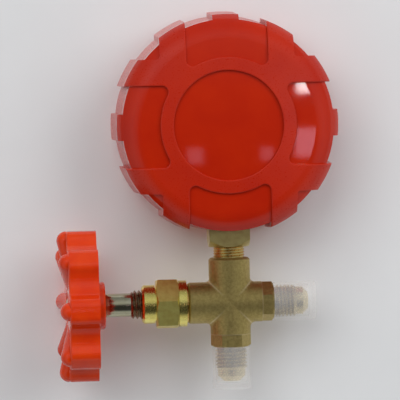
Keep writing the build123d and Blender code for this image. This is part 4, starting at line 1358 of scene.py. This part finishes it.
@dataclass
class DialPrint:
    """The scale printed on the dial: ticks, a red arc and plain numbers.

    Attributes:
        face: the printed face's depth.
        start: the clock angle of zero, measured from the bottom.
        sweep: the scale's sweep in degrees.
        top: the scale's last number.
        step: the numbers' step.
        rim: the ticks' outer radius.
        tick_step: the values between two ticks.
        long_step: the values between two long ticks.
        long_tick: a long tick's length and half width.
        short_tick: a short tick's.
        warning_from: the value at which the red arc starts.
        number_size: the numbers' height.
        number_inset: how far inside the rim their middles stand.
    """

    face: float = -9.5
    start: float = 45.0
    sweep: float = 270.0
    top: int = 500
    step: int = 100
    rim: float = 27.6
    tick_step: int = 10
    long_step: int = 50
    long_tick: tuple[float, float] = (3.4, 0.26)
    short_tick: tuple[float, float] = (2.0, 0.12)
    warning_from: float = 400
    number_size: float = 4.6
    number_inset: float = 6.6

    def plate(self, corners: np.ndarray, thick: float = 0.03) -> Shell:
        """A thin printed patch from rows of four corners in the dial's plane.

        Args:
            corners: x and z of four corners a patch, in order round it.
            thick: the ink's thickness.

        Returns:
            The closed patches.
        """
        count = len(corners)
        depth = np.array([self.face + 0.01, self.face - thick])
        points = np.empty((count, 2, 4, 3))
        points[..., 0] = corners[:, None, :, 0]
        points[..., 1] = depth[None, :, None]
        points[..., 2] = corners[:, None, :, 1] + GAUGE
        sides = [[0, 1, 2, 3], [7, 6, 5, 4], [0, 4, 5, 1], [1, 5, 6, 2], [2, 6, 7, 3], [3, 7, 4, 0]]
        faces = (np.arange(count)[:, None, None] * 8 + np.array(sides)[None]).reshape(-1, 4)
        return Shell(points.reshape(-1, 3), faces)

    def ray(self, angle: np.ndarray, radius: np.ndarray, aside: np.ndarray) -> np.ndarray:
        """Find points by clock angle, radius and offset across the ray.

        Args:
            angle: clock angles in degrees, measured from the bottom.
            radius: distances from the dial's middle.
            aside: offsets to the ray's side.

        Returns:
            The points' x and z.
        """
        turn = np.radians(angle)
        return np.stack([-radius * np.sin(turn) - aside * np.cos(turn),
                         -radius * np.cos(turn) + aside * np.sin(turn)], axis=-1)

    def ticks(self) -> Shell:
        """Draw the long and short ticks.

        Returns:
            The closed ticks.
        """
        value = np.arange(0, self.top + 1, self.tick_step)
        angle = self.start + self.sweep * value / self.top
        long = value % self.long_step == 0
        inner = self.rim - np.where(long, self.long_tick[0], self.short_tick[0])
        half = np.where(long, self.long_tick[1], self.short_tick[1])
        outer = np.full(len(value), self.rim)
        corners = np.stack([self.ray(angle, inner, -half), self.ray(angle, outer, -half),
                            self.ray(angle, outer, half), self.ray(angle, inner, half)], axis=1)
        return self.plate(corners)

    def arc(self, low: float, inner: float, outer: float, chords: int = 60) -> Shell:
        """A band from a value to the scale's end, in short chords.

        Args:
            low: the value where it starts.
            inner: its inner radius.
            outer: its outer radius.
            chords: how many chords it has.

        Returns:
            The closed chords.
        """
        angle = self.start + self.sweep * np.linspace(low, self.top, chords + 1) / self.top
        nil = np.zeros(chords)
        a, b = angle[:-1], angle[1:]
        near, far = np.full(chords, inner), np.full(chords, outer)
        corners = np.stack([self.ray(a, near, nil), self.ray(a, far, nil),
                            self.ray(b, far, nil), self.ray(b, near, nil)], axis=1)
        return self.plate(corners)

    def number(self, value: int) -> bpy.types.Object:
        """Write one plain number, made a mesh before it is placed.

        Args:
            value: the number.

        Returns:
            Its object.
        """
        words = bpy.data.curves.new(f"number_{value}", "FONT")
        words.body = str(value)
        words.size = self.number_size * MM
        words.extrude = 0.015 * MM
        words.align_x, words.align_y = "CENTER", "CENTER"
        carrier = linked(f"carrier_{value}", words)
        bpy.context.view_layer.update()
        mesh = bpy.data.meshes.new_from_object(carrier)
        bpy.data.objects.remove(carrier)
        places = np.empty(len(mesh.vertices) * 3)
        mesh.vertices.foreach_get("co", places)
        flat = places.reshape(-1, 3)
        centre = self.ray(np.array(self.start + self.sweep * value / self.top),
                          np.array(self.rim - self.number_inset), np.array(0.0)) * MM
        placed = np.stack([flat[:, 0] + centre[0], self.face * MM - flat[:, 2],
                           flat[:, 1] + centre[1] + GAUGE * MM], axis=1)
        mesh.vertices.foreach_set("co", placed.reshape(-1))
        mesh.name = f"number_{value}"
        return linked(mesh.name, mesh)

    def build(self) -> None:
        """Print the dial."""
        marks = self.ticks().joined(self.arc(0, self.rim, self.rim + 0.35))
        scale = marks.to_object("dial_scale", 30)
        dress(scale, DIAL_BLACK)
        settle(scale, Body.GAUGE_AND_VALVE)
        warning = self.arc(self.warning_from, self.rim + 0.45, self.rim + 1.15)
        band = warning.to_object("dial_band", 30)
        dress(band, DIAL_RED)
        settle(band, Body.GAUGE_AND_VALVE)
        for value in range(0, self.top + 1, self.step):
            made = self.number(value)
            dress(made, DIAL_BLACK)
            settle(made, Body.GAUGE_AND_VALVE)


@dataclass
class KeptNodes:
    """The frame's own solids whose shape is right; they only get their finishes.

    Attributes:
        finishes: each node's finish by its name; the movement's plates and the seat holder,
            which aren't named, are turned brass.
    """

    finishes: dict[str, Finish] = field(default_factory=lambda: {
        "protective_boot": BOOT_RED, "handwheel": WHEEL_RED, "valve_bonnet": DRAWN,
        "gauge_socket": SQUARE, "bonnet_seal": NECK, "seat_disc": PTFE, "stem_o_rings": RUBBER,
        "lens_gasket": RUBBER, "gauge_case": BLACK_STEEL, "bezel_ring": BLACK_STEEL,
        "lens": CLEAR, "dial": DIAL_WHITE, "pointer": DIAL_BLACK, "handwheel_washer": ZINC,
        "case_screws": ZINC, "movement_screws": ZINC, "dial_screws": ZINC, "stop_pin": ZINC,
        "pinion_arbor": ZINC, "sector_pin": ZINC, "tip_pin": ZINC, "bourdon_tube": BRONZE,
        "hairspring": BRONZE, "tube_tip": BRONZE})

    def build(self, nodes: Iterable[str]) -> None:
        """Dress every node, with one material for each finish.

        Args:
            nodes: the names of the frame's nodes.
        """
        made: dict[str, bpy.types.Material] = {}
        for name in nodes:
            finish = self.finishes.get(name, TURNED)
            if finish.name not in made:
                made[finish.name] = finish.material()
            piece = bpy.data.objects[name]
            for slot in piece.material_slots:
                slot.material = made[finish.name]
            LOG.info("%s: dressed in %s", name, finish.name)


def main() -> None:
    """Build and dress the gauge piece by piece."""
    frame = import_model()
    Studio().build()
    KeptNodes().build(frame["nodes"])
    ValveBody().build()
    Stem().build()
    WheelScrew().build()
    NeckThread().build()
    mouth = ValveBody.thread_length + ValveBody.nose_length
    DustCap("lower_cap_wall", DOWN, ValveBody.lower_reach - mouth, Body.LOWER_CAP,
            "lower_port_cap").build()
    DustCap("side_cap_wall", SIDEWAYS, ValveBody.side_reach - mouth, Body.SIDE_CAP,
            "side_port_cap").build()
    DialPrint().build()


if __name__ == "__main__":
    logging.basicConfig(level=logging.INFO)
    main()
